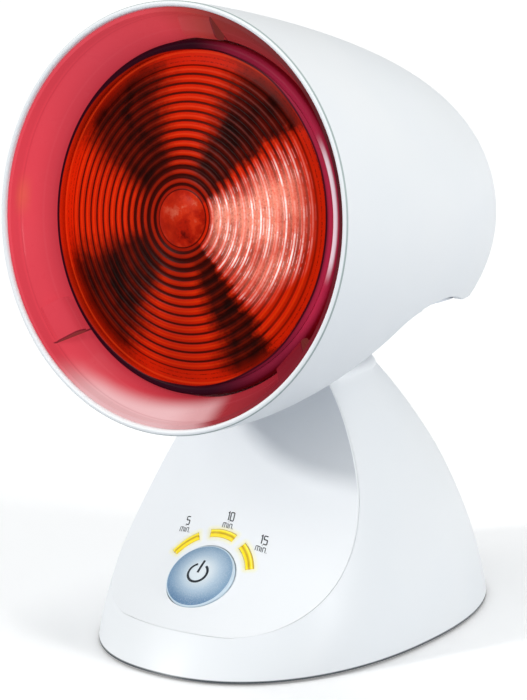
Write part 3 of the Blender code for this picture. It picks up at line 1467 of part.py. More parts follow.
def make_control_board():
    """The board behind the panel, its push switch and the screws into the panel's posts."""
    front = -board_drop()
    low = (-BOARD_HALF_WIDTH, -BOARD_LOW, front - BOARD_THICKNESS)
    high = (BOARD_HALF_WIDTH, BOARD_HIGH, front)
    board = add_part("control_board", box_mesh("control_board", low, high), "board_green", controls)
    switch_top = front + SWITCH_HEIGHT + GAP
    body = box_mesh(
        "push_switch",
        (-SWITCH_SIZE / 2, -SWITCH_SIZE / 2, front + GAP),
        (SWITCH_SIZE / 2, SWITCH_SIZE / 2, switch_top),
    )
    switch = add_part("push_switch", body, "plastic_black", controls)
    well = cylinder_mesh(
        "plunger_well", PLUNGER_RADIUS + GAP, switch_top - BUTTON_TRAVEL - GAP, switch_top + OVERRUN, 16
    )
    cut(switch, add_guide("plunger_well", well, controls))
    corners = [(x, y) for y in (-POST_LOW, POST_HIGH) for x in (-POST_SPREAD, POST_SPREAD)]
    for number, (x, y) in enumerate(corners, 1):
        hole = cylinder_mesh(
            "board_hole", SCREW_RADIUS + GAP, front - BOARD_THICKNESS - OVERRUN, front + OVERRUN, 8
        )
        cut(board, add_guide("board_hole", hole, controls, (x, y, 0)))
        place = (x, y, front - BOARD_THICKNESS - GAP)
        length = BOARD_THICKNESS + POST_RADIUS * 2
        add_screw(f"board_screw_{number}", controls, length, place, (math.pi, 0, 0))


def plate_bottom():
    return BASE_STAND_OFF + FLOOR_PLATE_LIFT


def plate_top():
    return plate_bottom() + FLOOR_PLATE


def foot_corners():
    return [(x, y) for y in (-FOOT_SPREAD_Y, FOOT_SPREAD_Y) for x in (-FOOT_SPREAD_X, FOOT_SPREAD_X)]


def supply_posts():
    return [
        (x, y)
        for y in (SUPPLY_FRONT + BOSS_RADIUS, SUPPLY_BACK - BOSS_RADIUS)
        for x in (-SUPPLY_SCREW_SPREAD, SUPPLY_SCREW_SPREAD)
    ]


def make_floor_plate():
    """The plate that closes the base, with foot seats, screw holes and board posts."""
    inset = BASE_WALL + GAP * 3
    outline = [(x, y) for x, y, _ in section_ring(plate_top(), inset)]
    mesh = outline_mesh("floor_plate", outline, plate_bottom(), plate_top())
    plate = add_part("floor_plate", mesh, "plastic_black")
    for x, y in supply_posts():
        low = plate_top() - FLOOR_PLATE / 2
        post = cylinder_mesh("supply_post", POST_RADIUS, low, plate_top() + SUPPLY_POST_HEIGHT, 8)
        join(plate, add_guide("supply_post", post, location=(x, y, 0)))
    for x, y in foot_corners():
        seat = cylinder_mesh(
            "foot_seat", FOOT_RADIUS + GAP, 0, plate_bottom() + SEAT_DEPTH, 16
        )
        cut(plate, add_guide("foot_seat", seat, location=(x, y, 0)))
    for x, y in base_boss_places():
        hole = cylinder_mesh("floor_hole", SCREW_RADIUS + GAP, 0, plate_top() + OVERRUN, 8)
        cut(plate, add_guide("floor_hole", hole, location=(x, y, 0)))
        sink = plate_bottom() + SEAT_DEPTH
        seat = cylinder_mesh("screw_seat", SCREW_HEAD_RADIUS + GAP, 0, sink, 8)
        cut(plate, add_guide("screw_seat", seat, location=(x, y, 0)))
    for x, y in supply_posts():
        top = plate_top() + SUPPLY_POST_HEIGHT
        bottom = top - SUPPLY_SCREW_LENGTH
        hole = cylinder_mesh("supply_hole", SCREW_RADIUS + GAP, bottom, top + OVERRUN, 8)
        cut(plate, add_guide("supply_hole", hole, location=(x, y, 0)))


def make_feet_and_screws():
    words = ("front_left", "front_right", "rear_left", "rear_right")
    top = plate_bottom() + SEAT_DEPTH - GAP
    for word, (x, y) in zip(words, foot_corners()):
        points = [
            (0, top),
            (FOOT_RADIUS, top),
            (FOOT_RADIUS, FOOT_ROUND),
            (FOOT_RADIUS - FOOT_ROUND, 0),
            (0, 0),
        ]
        add_turned(f"foot_{word}", points, "rubber_black", segments=16, location=(x, y, 0))
    for word, (x, y) in zip(words, base_boss_places()):
        place = (x, y, plate_bottom() + SEAT_DEPTH - GAP)
        length = BASE_SCREW_LENGTH - OVERRUN / 4
        add_screw(f"base_screw_{word}", None, length, place, (math.pi, 0, 0))


def place_on_supply(name, size, place, colour, bevel):
    """A boxed component on the supply board."""
    low_z = supply_top() + GAP
    low = (place[0] - size[0] / 2, place[1] - size[1] / 2, low_z)
    high = (place[0] + size[0] / 2, place[1] + size[1] / 2, low_z + size[2])
    part = add_part(name, box_mesh(name, low, high), colour)
    add_bevel(part, bevel, 1)
    return part


def supply_top():
    return plate_top() + SUPPLY_POST_HEIGHT + GAP + BOARD_THICKNESS


def make_supply():
    """The supply board with its transformer, relay, capacitor and cord terminal."""
    low = (-SUPPLY_HALF_WIDTH, SUPPLY_FRONT, supply_top() - BOARD_THICKNESS)
    high = (SUPPLY_HALF_WIDTH, SUPPLY_BACK, supply_top())
    board = add_part("supply_board", box_mesh("supply_board", low, high), "board_green")
    for number, (x, y) in enumerate(supply_posts(), 1):
        hole = cylinder_mesh(
            "supply_board_hole", SCREW_RADIUS + GAP, low[2] - OVERRUN, high[2] + OVERRUN, 8
        )
        cut(board, add_guide("supply_board_hole", hole, location=(x, y, 0)))
        place = (x, y, supply_top() + GAP)
        length = BOARD_THICKNESS + SUPPLY_SCREW_LENGTH - GAP * 2
        add_screw(f"supply_screw_{number}", None, length, place)
    edge = BOARD_THICKNESS / 2
    place_on_supply("supply_transformer", TRANSFORMER_SIZE, TRANSFORMER_PLACE, "plastic_black", edge)
    place_on_supply("lamp_relay", RELAY_SIZE, RELAY_PLACE, "relay_blue", edge)
    place_on_supply("cord_terminal", TERMINAL_SIZE, TERMINAL_PLACE, "ceramic", edge)
    base = supply_top() + GAP
    points = [
        (0, base + CAPACITOR_HEIGHT),
        (CAPACITOR_RADIUS * 0.85, base + CAPACITOR_HEIGHT),
        (CAPACITOR_RADIUS, base + CAPACITOR_HEIGHT - CAPACITOR_RADIUS * 0.15),
        (CAPACITOR_RADIUS, base),
        (0, base),
    ]
    place = (*CAPACITOR_PLACE, 0)
    add_turned("smoothing_capacitor", points, "plastic_black", segments=20, location=place)


def make_inlet():
    """The rubber bush that the cord would enter by, seated in the back wall."""
    behind = BASE_WALL * 2
    points = [
        (INLET_BORE_RADIUS, INLET_FLANGE_THICKNESS),
        (INLET_RADIUS, INLET_FLANGE_THICKNESS),
        (INLET_RADIUS + INLET_FLANGE, INLET_FLANGE_THICKNESS / 2),
        (INLET_RADIUS + INLET_FLANGE, GAP),
        (INLET_RADIUS, GAP),
        (INLET_RADIUS, -behind),
        (INLET_BORE_RADIUS, -behind),
    ]
    add_turned(
        "cord_inlet", points, "rubber_black", closed=True, segments=20, **inlet_place()
    )


make_head_shell()
make_underside_cover()
make_cover_screws()
make_liner()
make_lens()
make_bowl()
bulb_end = make_cap()
make_filament()
make_lampholder(bulb_end)
make_hinge()
make_base_shell()
make_pawl()
make_front_panel()
make_light_guides()
make_button()
make_control_board()
make_floor_plate()
make_feet_and_screws()
make_supply()
make_inlet()
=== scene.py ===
"""Looks of the infrared heat therapy lamp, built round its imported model."""

import json
from functools import partialmethod
from math import asin, atan2, copysign, cos, exp, hypot, pi, radians, sin, sqrt, tan

import bmesh
import bpy
from mathutils import Matrix, Vector

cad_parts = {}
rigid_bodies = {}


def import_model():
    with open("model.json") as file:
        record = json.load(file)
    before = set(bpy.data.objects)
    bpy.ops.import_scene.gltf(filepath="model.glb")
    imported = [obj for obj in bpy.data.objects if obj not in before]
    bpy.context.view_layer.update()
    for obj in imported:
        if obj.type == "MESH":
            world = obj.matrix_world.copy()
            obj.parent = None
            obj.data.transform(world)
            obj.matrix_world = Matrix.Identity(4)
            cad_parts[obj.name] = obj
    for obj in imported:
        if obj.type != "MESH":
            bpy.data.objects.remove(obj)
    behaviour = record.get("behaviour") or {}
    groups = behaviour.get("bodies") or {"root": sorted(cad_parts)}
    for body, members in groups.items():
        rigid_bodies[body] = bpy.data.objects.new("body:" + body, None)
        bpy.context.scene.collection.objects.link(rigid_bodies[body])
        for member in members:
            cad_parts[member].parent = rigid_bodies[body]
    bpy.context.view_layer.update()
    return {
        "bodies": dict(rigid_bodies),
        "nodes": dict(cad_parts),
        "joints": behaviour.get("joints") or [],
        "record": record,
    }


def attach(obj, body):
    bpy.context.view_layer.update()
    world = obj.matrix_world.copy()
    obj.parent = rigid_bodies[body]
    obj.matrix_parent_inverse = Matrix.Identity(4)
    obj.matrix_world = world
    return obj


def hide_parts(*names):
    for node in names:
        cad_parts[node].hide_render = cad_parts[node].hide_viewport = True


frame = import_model()

# Clearances and tolerances
GAP = 0.0003
OVERRUN = 0.004
MERGE = 0.00001
SLOPE_STEP = 0.00002
LEVEL_TOLERANCE = 0.02
AGREEMENT = 0.86
HALVINGS = 40

# Head
RIM_RADIUS = 0.0733
RIM_HEIGHT = 0.1602
RIM_FORWARD = 0.076
HEAD_TILT = radians(8.1)
HEAD_LENGTH = 0.1572
HEAD_TAPER = 1.286
HEAD_ROUND = 3.841
SHELL_WALL = 0.0025
LIP_WALL = 0.002
LIP_ROUND = 0.0009
LIP_STEPS = 10
HEAD_SEGMENTS = 200
HEAD_OUTER_ROWS = 72
HEAD_INNER_ROWS = 30
CUT_DEPTH = 0.015
CUT_START = 0.0685
CUT_SLOPE = radians(39.9)
CUT_FLAT = 0.0259
CUT_FILLET = 0.03
CUT_BEND_STEPS = 27
GRIP_DEPTH = 0.092
GRIP_HALF = 0.021
GRIP_RISE = 0.0028
GRIP_POINTS = 33
COVER_WALL = 0.002
COVER_GAP = 0.0035
COVER_FRONT = 0.015
COVER_MARGIN = 0.0075
COVER_ROWS = 60
COVER_COLUMNS = 36
COVER_BULGE_POWER = 2.4
COVER_EDGE_SHARE = 0.985
VENT_WIDTH = 0.0028
VENT_LENGTH = 0.02
VENT_PITCH = 0.0065
VENT_COUNT = 3
VENT_DEPTH = 0.048
BACK_VENT_HEIGHT = 0.0028
BACK_VENT_PITCH = 0.007
BACK_VENT_COUNT = 5
BACK_VENT_REACH = 0.021
VENT_END_POINTS = 12
BOSS_HEIGHT = 0.014
BOSS_RADIUS = 0.0056
BOSS_SEGMENTS = 32
SCREW_INSET = 0.0034
SCREW_DEPTHS = (0.0905, 0.126)
SCREW_RADIUS = 0.0013
SCREW_HEAD = 0.0027
SCREW_SEGMENTS = 24
PLATE_SPREAD = 0.023
PLATE_DEPTH = 0.1288

# Liner
LINER_LIP = 0.0012
LINER_FRONT = 0.006
LINER_CONE = 0.017
LINER_BACK = 0.0215
LINER_WALL = 0.0013
LINER_GAP = 0.0009
LINER_STEPS = 11
TAB_ANGLES = (radians(0), radians(130), radians(-130))
TAB_WIDTH = 0.014
TAB_FRONT = 0.005
TAB_CREST = 0.0102
TAB_CREST_DROP = 0.001
TAB_CURVE = ((2.6, 0.0012), (1, 0), (0.3, -0.0016))  # in crest drops, and how far ahead
TAB_BACK = 0.0146
TAB_GAP = 0.0008

# Bulb
BULB_RADIUS = 0.0605
BULB_RECESS = 0.0157
LENS_CROWN = 0.007
LENS_EDGE = 0.004
LENS_WALL = 0.0038
LENS_EDGE_RISE = 0.8
LENS_EDGE_SINK = 0.4
LENS_EDGE_STEPS = 12
LENS_BACK_STEPS = 8
LAND_RADIUS = 0.057
LAND_STEPS = 6
LENS_DOME = 0.0099
LENS_DOME_RISE = 0.0014
LENS_DOME_STEPS = 12
RING_START = 0.0113
RING_PITCH = 0.00313077
RING_COUNT = 13
RING_STEPS = 8
RING_RELIEF = 0.0004
BOWL_LENGTH = 0.074
BOWL_WALL = 0.0025
BOWL_ROWS = 36
NECK_RADIUS = 0.0185
NECK_END = 0.11
BULB_SEGMENTS = 192

# Hinge
PIVOT_DEPTH = 0.097
KNUCKLE_RADIUS = 0.011
KNUCKLE_HALF = 0.015
KNUCKLE_POINTS = 49
KNUCKLE_GAP = 0.0005
CHEEK_WALL = 0.004
CHEEK_RADIUS = 0.0095
CHEEK_POINTS = 41
AXLE_RADIUS = 0.003
AXLE_SEGMENTS = 48
DETENT_RADIUS = 0.0086
DETENT_WALL = 0.003
POCKET_GAP = 0.0005
PAWL_WIDTH = 0.0022
PAWL_LENGTH = 0.006
WIRE_RADIUS = 0.003
WIRE_OFFSET = 0.008
WIRE_SEGMENTS = 32

# Base
BASE_HALF_WIDTH = 0.0586
BASE_HALF_LENGTH = 0.0848
DOME_PEAK = 0.1151
DOME_TOP = 0.0965
TOP_ROUND = 0.003
TOP_TURNS = 8
SHOULDER = DOME_TOP - TOP_ROUND
DOME_CURVES = (  # half width, front and rear: size at the foot, powers of rise and rounding
    (BASE_HALF_WIDTH, 1.644, 1.46),
    (BASE_HALF_LENGTH, 1.172, 1.012),
    (BASE_HALF_LENGTH, 1.034, 1.473),
)
FOOT_POWER = 2.23
TOP_POWER = 2.71
POWER_BLEND = 0.52
BASE_WALL = 0.0026
INSET_SHARE = 0.72
STAND_OFF = 0.001
BASE_SEGMENTS = 200
BASE_ROWS = 64
TOE_FORWARD = 0.0773
TOE_HEIGHT = 0.0152
TOE_SLOPE = 1.564
PANEL_BEND = 0.0529
PANEL_CROWN = 0.0141
CROWN_LOSS = 0.143
CROWN_HEIGHT = 0.025
CROWN_WIDTH = 0.045
PANEL_WALL = 0.002
TOE_LIFT = 0.0003
PANEL_ROW_POWER = 1.5
PANEL_COLUMNS = 48
PANEL_ROWS = 64
LEDGE_WALL = 0.0015
INLET_HEIGHT = 0.015
INLET_RADIUS = 0.0058
PANEL_REACH = BASE_HALF_LENGTH + TOE_FORWARD
OPENING_LOW = (-0.0245, -0.0155, -0.0155)
OPENING_HIGH = (0.0245, 0.024, 0.0155)

# Controls
BUTTON_HEIGHT = 0.0291
BUTTON_RADIUS = 0.013
BUTTON_EDGE = 0.0007
BUTTON_CROWN = 0.002
BUTTON_CROWN_POWER = 0.9
BUTTON_TOP_STEPS = 24
BUTTON_SKIRT = 0.0032
BUTTON_FLANGE = 0.001
BUTTON_PIN_RADIUS = 0.0025
BUTTON_PIN_LENGTH = 0.004
BUTTON_ROUND = 0.0006
BUTTON_ROUND_POINTS = 7
BUTTON_SEGMENTS = 128
GUIDE_RADIUS = 0.0182
GUIDE_WIDTH = 0.003
GUIDE_SPAN = radians(33)
GUIDE_STEP = radians(48)
GUIDE_LENGTH = 0.0075
GUIDE_PROUD = 0.0004
GUIDE_BEVEL = 0.00035
GUIDE_POINTS = 25
GUIDE_WORDS = {-1: "five", 0: "ten", 1: "fifteen"}
MARK_LIFT = 0.00006
MITRE_LIMIT = 0.5
CORNER_STEPS = 5
MINUTES = (("5", -0.0175, 0.0209), ("10", 0.0001, 0.0251), ("15", 0.0167, 0.0198))
TEXT_LEAN = -0.2
FIGURE_HEIGHT = 0.0031
FIGURE_STROKE = 0.00042
WORD_HEIGHT = 0.0025
WORD_ASIDE = 0.0002
WORD_BELOW = 0.0033
WORD_STROKE = 0.00027
SYMBOL_RADIUS = 0.00375
SYMBOL_SPAN = (radians(117), radians(420))
SYMBOL_POINTS = 60
SYMBOL_BAR = 0.0055
SYMBOL_BAR_STEPS = 3
SYMBOL_STROKE = 0.00088


# Mesh helpers


def loft_mesh(rows, caps=True):
    """Closed rows of points joined one after another; points that coincide are welded."""
    bm = bmesh.new()
    grid = [[bm.verts.new(point) for point in row] for row in rows]
    for first, second in zip(grid, grid[1:]):
        for i in range(len(first)):
            bm.faces.new((first[i - 1], first[i], second[i], second[i - 1]))
    if caps:
        bm.faces.new(grid[0])
        bm.faces.new(grid[-1])
    bmesh.ops.remove_doubles(bm, verts=bm.verts, dist=MERGE)
    bmesh.ops.recalc_face_normals(bm, faces=bm.faces)
    mesh = bpy.data.meshes.new("mesh")
    bm.to_mesh(mesh)
    bm.free()
    return mesh


def turned_mesh(points, segments, closed=False):
    """A profile of (radius, height) points turned about Z."""
    angles = [2 * pi * i / segments for i in range(segments)]
    rows = [[(radius * cos(a), radius * sin(a), z) for a in angles] for radius, z in points]
    return loft_mesh(rows + rows[:1] if closed else rows, caps=False)


def prism_mesh(outline, low, high, place=lambda x, y, z: (x, y, z)):
    """A flat outline given thickness, each of its points placed by a function."""
    return loft_mesh([[place(x, y, z) for x, y in outline] for z in (low, high)])


def box_mesh(low, high):
    outline = [(low[0], low[1]), (high[0], low[1]), (high[0], high[1]), (low[0], high[1])]
    return prism_mesh(outline, low[2], high[2])


def cylinder_mesh(radius, low, high, segments=64, top_radius=None):
    profile = [(0, low), (radius, low), (top_radius or radius, high), (0, high)]
    return turned_mesh(profile, segments)


def arc_points(centre, radius, start, end, count):
    steps = [start + (end - start) * i / (count - 1) for i in range(count)]
    return [(centre[0] + radius * cos(a), centre[1] + radius * sin(a)) for a in steps]


def new_object(name, data, matrix):
    made = bpy.data.objects.new(name, data)
    made.matrix_world = matrix
    bpy.context.scene.collection.objects.link(made)
    return made


def combine(piece, operation, mesh, matrix):
    """Cuts or joins a mesh to a piece and keeps only the result."""
    guide = new_object("guide", mesh, matrix)
    modifier = piece.modifiers.new("combine", "BOOLEAN")
    modifier.operation = operation
    modifier.object = guide
    modifier.solver = "EXACT"
    bpy.context.view_layer.update()
    result = piece.evaluated_get(bpy.context.evaluated_depsgraph_get())
    settled = bpy.data.meshes.new_from_object(result)
    piece.modifiers.clear()
    piece.data = settled
    bpy.data.objects.remove(guide, do_unlink=True)


def cut(piece, mesh, matrix):
    combine(piece, "DIFFERENCE", mesh, matrix)


def join(piece, mesh, matrix):
    combine(piece, "UNION", mesh, matrix)


def smooth_with(piece, normal_at, sharp):
    """Shades a piece smooth, with exact normals wherever its faces follow a given surface."""
    mesh = piece.data
    mesh.shade_smooth()
    mesh.set_sharp_from_angle(angle=radians(sharp))
    if normal_at is None:
        return
    exact = [normal_at(vertex.co) for vertex in mesh.vertices]
    normals = [(0.0, 0.0, 0.0)] * len(mesh.loops)
    for face in mesh.polygons:
        for loop in face.loop_indices:
            normal = exact[mesh.loops[loop].vertex_index]
            if normal is not None and face.normal.dot(normal) > AGREEMENT:
                normals[loop] = normal
    mesh.normals_split_custom_set(normals)


def slope_of(level, point):
    """Direction in which a level rises fastest at a point."""
    slopes = []
    for axis in range(3):
        ahead, behind = list(point), list(point)
        ahead[axis] += SLOPE_STEP
        behind[axis] -= SLOPE_STEP
        slopes.append(level(*ahead) - level(*behind))
    return Vector(slopes).normalized()


def bisect(low, high, holds):
    """The place between low and high where a test stops to hold."""
    for _ in range(HALVINGS):
        middle = (low + high) / 2
        low, high = (middle, high) if holds(middle) else (low, middle)
    return (low + high) / 2


def at(x, y, z):
    return Matrix.Translation((x, y, z))


def spin(axis, angle):
    return Matrix.Rotation(angle, 4, axis)


WORLD = Matrix()
UPRIGHT = spin("X", -pi / 2)
ALONG_X = spin("Y", pi / 2)


# Shape of the head, in its own frame: X across, Y up, Z forward out of the mouth

HEAD = at(0, -RIM_FORWARD, RIM_HEIGHT) @ spin("X", pi / 2 - HEAD_TILT)
PIVOT_DROP = CUT_FLAT + KNUCKLE_RADIUS + KNUCKLE_GAP
_, PIVOT_Y, PIVOT_Z = HEAD @ Vector((0, -PIVOT_DROP, -PIVOT_DEPTH))
CUT_CORNER = CUT_DEPTH + (CUT_START - CUT_FLAT) / tan(CUT_SLOPE)
CUT_SETBACK = CUT_FILLET * tan(CUT_SLOPE / 2)
CUT_BEND = CUT_CORNER - CUT_SETBACK * cos(CUT_SLOPE)


def shell_radius(depth):
    share = min(max(depth / HEAD_LENGTH, 0), 1)
    return RIM_RADIUS * (1 - share**HEAD_TAPER) ** (1 / HEAD_ROUND)


def shell_depths(count, start, end):
    return [start + (end - start) * sin(pi / 2 * i / count) for i in range(count + 1)]


def shell_inner_profile():
    rows = []
    for depth in shell_depths(HEAD_INNER_ROWS, LIP_ROUND, HEAD_LENGTH - SHELL_WALL):
        wall = LIP_WALL + (SHELL_WALL - LIP_WALL) * min(depth / LINER_FRONT, 1)
        outer_depth = min(depth * HEAD_LENGTH / (HEAD_LENGTH - SHELL_WALL), depth + SHELL_WALL)
        rows.append((max(shell_radius(outer_depth) - wall, 0), depth))
    return rows[:-1] + [(0, rows[-1][1])]


SHELL_INNER = shell_inner_profile()


def shell_inner_radius(depth):
    for (near_radius, near), (far_radius, far) in zip(SHELL_INNER, SHELL_INNER[1:]):
        if depth <= far:
            share = max(depth - near, 0) / (far - near)
            return near_radius + (far_radius - near_radius) * share
    return 0


def shell_level(x, y, z):
    return hypot(x, y) - shell_radius(-z)


def shell_normal(point):
    """Outward normal of the bullet at a point of its outer side."""
    if not LIP_ROUND / 2 < -point.z < HEAD_LENGTH - SLOPE_STEP * 2:
        return None
    if shell_level(*point) < -SHELL_WALL / 3:
        return None
    return slope_of(shell_level, point)


def bowl_radius(depth):
    vertex = BULB_RECESS + LENS_EDGE + BOWL_LENGTH
    return max(BULB_RADIUS * sqrt(max(vertex - depth, 0) / BOWL_LENGTH), NECK_RADIUS)


def cut_drop(depth):
    if depth <= CUT_BEND:
        return CUT_START - tan(CUT_SLOPE) * (depth - CUT_DEPTH)
    run = max(CUT_CORNER + CUT_SETBACK - depth, 0)
    return CUT_FLAT + CUT_FILLET - sqrt(CUT_FILLET**2 - run**2)


def cover_drop(depth):
    around = bowl_radius(depth) + COVER_GAP
    if depth < LINER_BACK + COVER_GAP:
        around = max(around, BULB_RADIUS + LINER_GAP + LINER_WALL + GAP * 2)
    return max(around + COVER_WALL / cos(CUT_SLOPE), CUT_FLAT)


def cover_screw_places():
    places = []
    for depth in SCREW_DEPTHS:
        across = sqrt(shell_inner_radius(depth) ** 2 - CUT_FLAT**2) - SCREW_INSET
        places += [(-across, depth), (across, depth)]
    return places


# Shape of the base


def dome_section(height):
    """Half width, front, rear and power of the dome's section at a height."""
    share = min(height / DOME_PEAK, 1)
    reaches = [size * (1 - share**rise) ** (1 / bend) for size, rise, bend in DOME_CURVES]
    blend = min(share / POWER_BLEND, 1)
    return *reaches, FOOT_POWER + (TOP_POWER - FOOT_POWER) * blend


def section_ring(height, inset=0):
    half_width, front, rear, power = dome_section(height)
    ring = []
    for i in range(BASE_SEGMENTS):
        angle = 2 * pi * (i + 0.5) / BASE_SEGMENTS
        across, along = cos(angle), sin(angle)
        reach = (front if along < 0 else rear) - inset
        x = (half_width - inset) * copysign(abs(across) ** (2 / power), across)
        y = reach * copysign(abs(along) ** (2 / power), along)
        ring.append((x, y, height))
    return ring


def dome_rings(wall=0):
    """Rings up the dome's outer side, or up its inner side for a wall's thickness."""
    inset = wall * INSET_SHARE
    rings = []
    for i in range(BASE_ROWS + 1):
        height = STAND_OFF + (SHOULDER - STAND_OFF) * i / BASE_ROWS
        rings.append([(x, y, z - inset) for x, y, z in section_ring(height, inset)])
    for i in range(1, 1 if wall else TOP_TURNS + 1):
        angle = pi / 2 * i / TOP_TURNS
        ring = section_ring(SHOULDER, TOP_ROUND * (1 - cos(angle)))
        rings.append([(x, y, z + TOP_ROUND * sin(angle)) for x, y, z in ring])
    return rings


def dome_level(x, y, z):
    """Above one outside the dome and below one inside it."""
    half_width, front, rear, power = dome_section(z)
    return (abs(x) / half_width) ** power + (abs(y) / (front if y < 0 else rear)) ** power


def dome_normal(point):
    """Outward normal of the dome, for points on its outer side below the shoulder."""
    if not STAND_OFF <= point.z <= SHOULDER - SLOPE_STEP:
        return None
    if abs(dome_level(*point) - 1) > LEVEL_TOLERANCE:
        return None
    return slope_of(dome_level, point)


def dome_front(x, height):
    over = min(max(height - SHOULDER, 0), TOP_ROUND)
    drawn_in = TOP_ROUND - sqrt(TOP_ROUND**2 - over**2)
    half_width, front, _, power = dome_section(min(height, SHOULDER))
    share = min(x / (half_width - drawn_in), 1)
    return (drawn_in - front) * (1 - share**power) ** (1 / power)


def panel_crown(height):
    return PANEL_CROWN - CROWN_LOSS * (height - CROWN_HEIGHT)


def panel_y(x, height):
    run = PANEL_BEND * (1 - exp((TOE_HEIGHT - height) / PANEL_BEND))
    crown = panel_crown(height) * (x / CROWN_WIDTH) ** 2
    return TOE_SLOPE * run - TOE_FORWARD + crown


def panel_slopes(x, height):
    across = 2 * panel_crown(height) * x / CROWN_WIDTH**2
    up = TOE_SLOPE * exp((TOE_HEIGHT - height) / PANEL_BEND)
    return across, up - CROWN_LOSS * (x / CROWN_WIDTH) ** 2


def panel_normal(point):
    """Outward normal of the panel at a point of its face."""
    x, y, z = point
    if abs(y - panel_y(x, z)) > PANEL_WALL / 3:
        return None
    across, up = panel_slopes(x, z)
    return Vector((across, -1, up)).normalized()


def panel_edge(height):
    return bisect(0, BASE_HALF_WIDTH, lambda x: panel_y(x, height) > dome_front(x, height))


def panel_slab(near, far, growth):
    """The solid between two faces parallel to the panel, or all that lies in front of one."""
    low = TOE_HEIGHT + TOE_LIFT
    rows = []
    for j in range(PANEL_ROWS + 1):
        height = low + (DOME_TOP - low) * (j / PANEL_ROWS) ** PANEL_ROW_POWER
        half = panel_edge(height) + growth
        if j == 0:
            height -= growth
        if j == PANEL_ROWS and growth > 0:
            height += OVERRUN
        front, back = [], []
        for i in range(PANEL_COLUMNS + 1):
            x = half * (2 * i / PANEL_COLUMNS - 1)
            y = panel_y(x, height)
            lean = hypot(1, *panel_slopes(x, height))
            front.append((x, -PANEL_REACH if near is None else y + near * lean, height))
            back.append((x, y + far * lean, height))
        rows.append(front + back[::-1])
    return loft_mesh(rows)


BUTTON_Y = panel_y(0, BUTTON_HEIGHT)
PANEL_LEAN = atan2(1, panel_slopes(0, BUTTON_HEIGHT)[1])
CONTROLS = at(0, BUTTON_Y, BUTTON_HEIGHT) @ spin("X", PANEL_LEAN)


def panel_rise(across, along):
    """Height of the panel's face over the plane that touches it at the button's middle."""

    def behind(rise):
        y = BUTTON_Y + along * cos(PANEL_LEAN) - rise * sin(PANEL_LEAN)
        z = BUTTON_HEIGHT + along * sin(PANEL_LEAN) + rise * cos(PANEL_LEAN)
        return y > panel_y(across, z)

    return bisect(-PANEL_WALL * 4, PANEL_WALL * 4, behind)


# Materials


def srgb(code):
    """A colour as it is seen, two hexadecimal digits a channel, turned into linear light."""
    values = [int(code[i : i + 2], 16) / 255 for i in (0, 2, 4)]
    linear = [v / 12.92 if v <= 0.04045 else ((v + 0.055) / 1.055) ** 2.4 for v in values]
    return *linear, 1.0


class Field:
    """A number or colour that varies over a surface; sums with it add nodes to its look."""

    def __init__(self, look, socket):
        self.look = look
        self.socket = socket

    def calc(self, operation, *others):
        node = self.look.node("Math", operation=operation)
        for socket, value in zip(node.inputs, (self, *others)):
            self.look.link(value, socket)
        return Field(self.look, node.outputs[0])

    __add__ = partialmethod(calc, "ADD")
    __sub__ = partialmethod(calc, "SUBTRACT")
    __mul__ = partialmethod(calc, "MULTIPLY")
    __truediv__ = partialmethod(calc, "DIVIDE")
    __abs__ = partialmethod(calc, "ABSOLUTE")

    def step(self, low, high, start=0.0, end=1.0):
        """Eases from start to end as the value goes from low to high."""
        if low > high:
            low, high, start, end = high, low, end, start
        limits = {"From_Min": low, "From_Max": high, "To_Min": start, "To_Max": end}
        node = self.look.node("MapRange", interpolation_type="SMOOTHSTEP", Value=self, **limits)
        return Field(self.look, node.outputs["Result"])

    def band(self, middle, near, far, strength):
        """Full within a distance of the middle and gone beyond a larger one."""
        return abs(self - middle).step(far, near, 0.0, strength)

    def ramp(self, *stops, interpolation="EASE"):
        """Goes from stop to stop, each of them a place and its number or colour."""
        node = self.look.node("ValToRGB")
        self.look.link(self, node.inputs[0])
        band = node.color_ramp
        band.interpolation = interpolation
        while len(band.elements) < len(stops):
            band.elements.new(0.5)
        for element, (position, value) in zip(band.elements, stops):
            element.position = position
            element.color = srgb(value) if isinstance(value, str) else (value, value, value, 1)
        return Field(self.look, node.outputs[0])

    def mix(self, factor, other):
        return self.look.mix(factor, self, other)


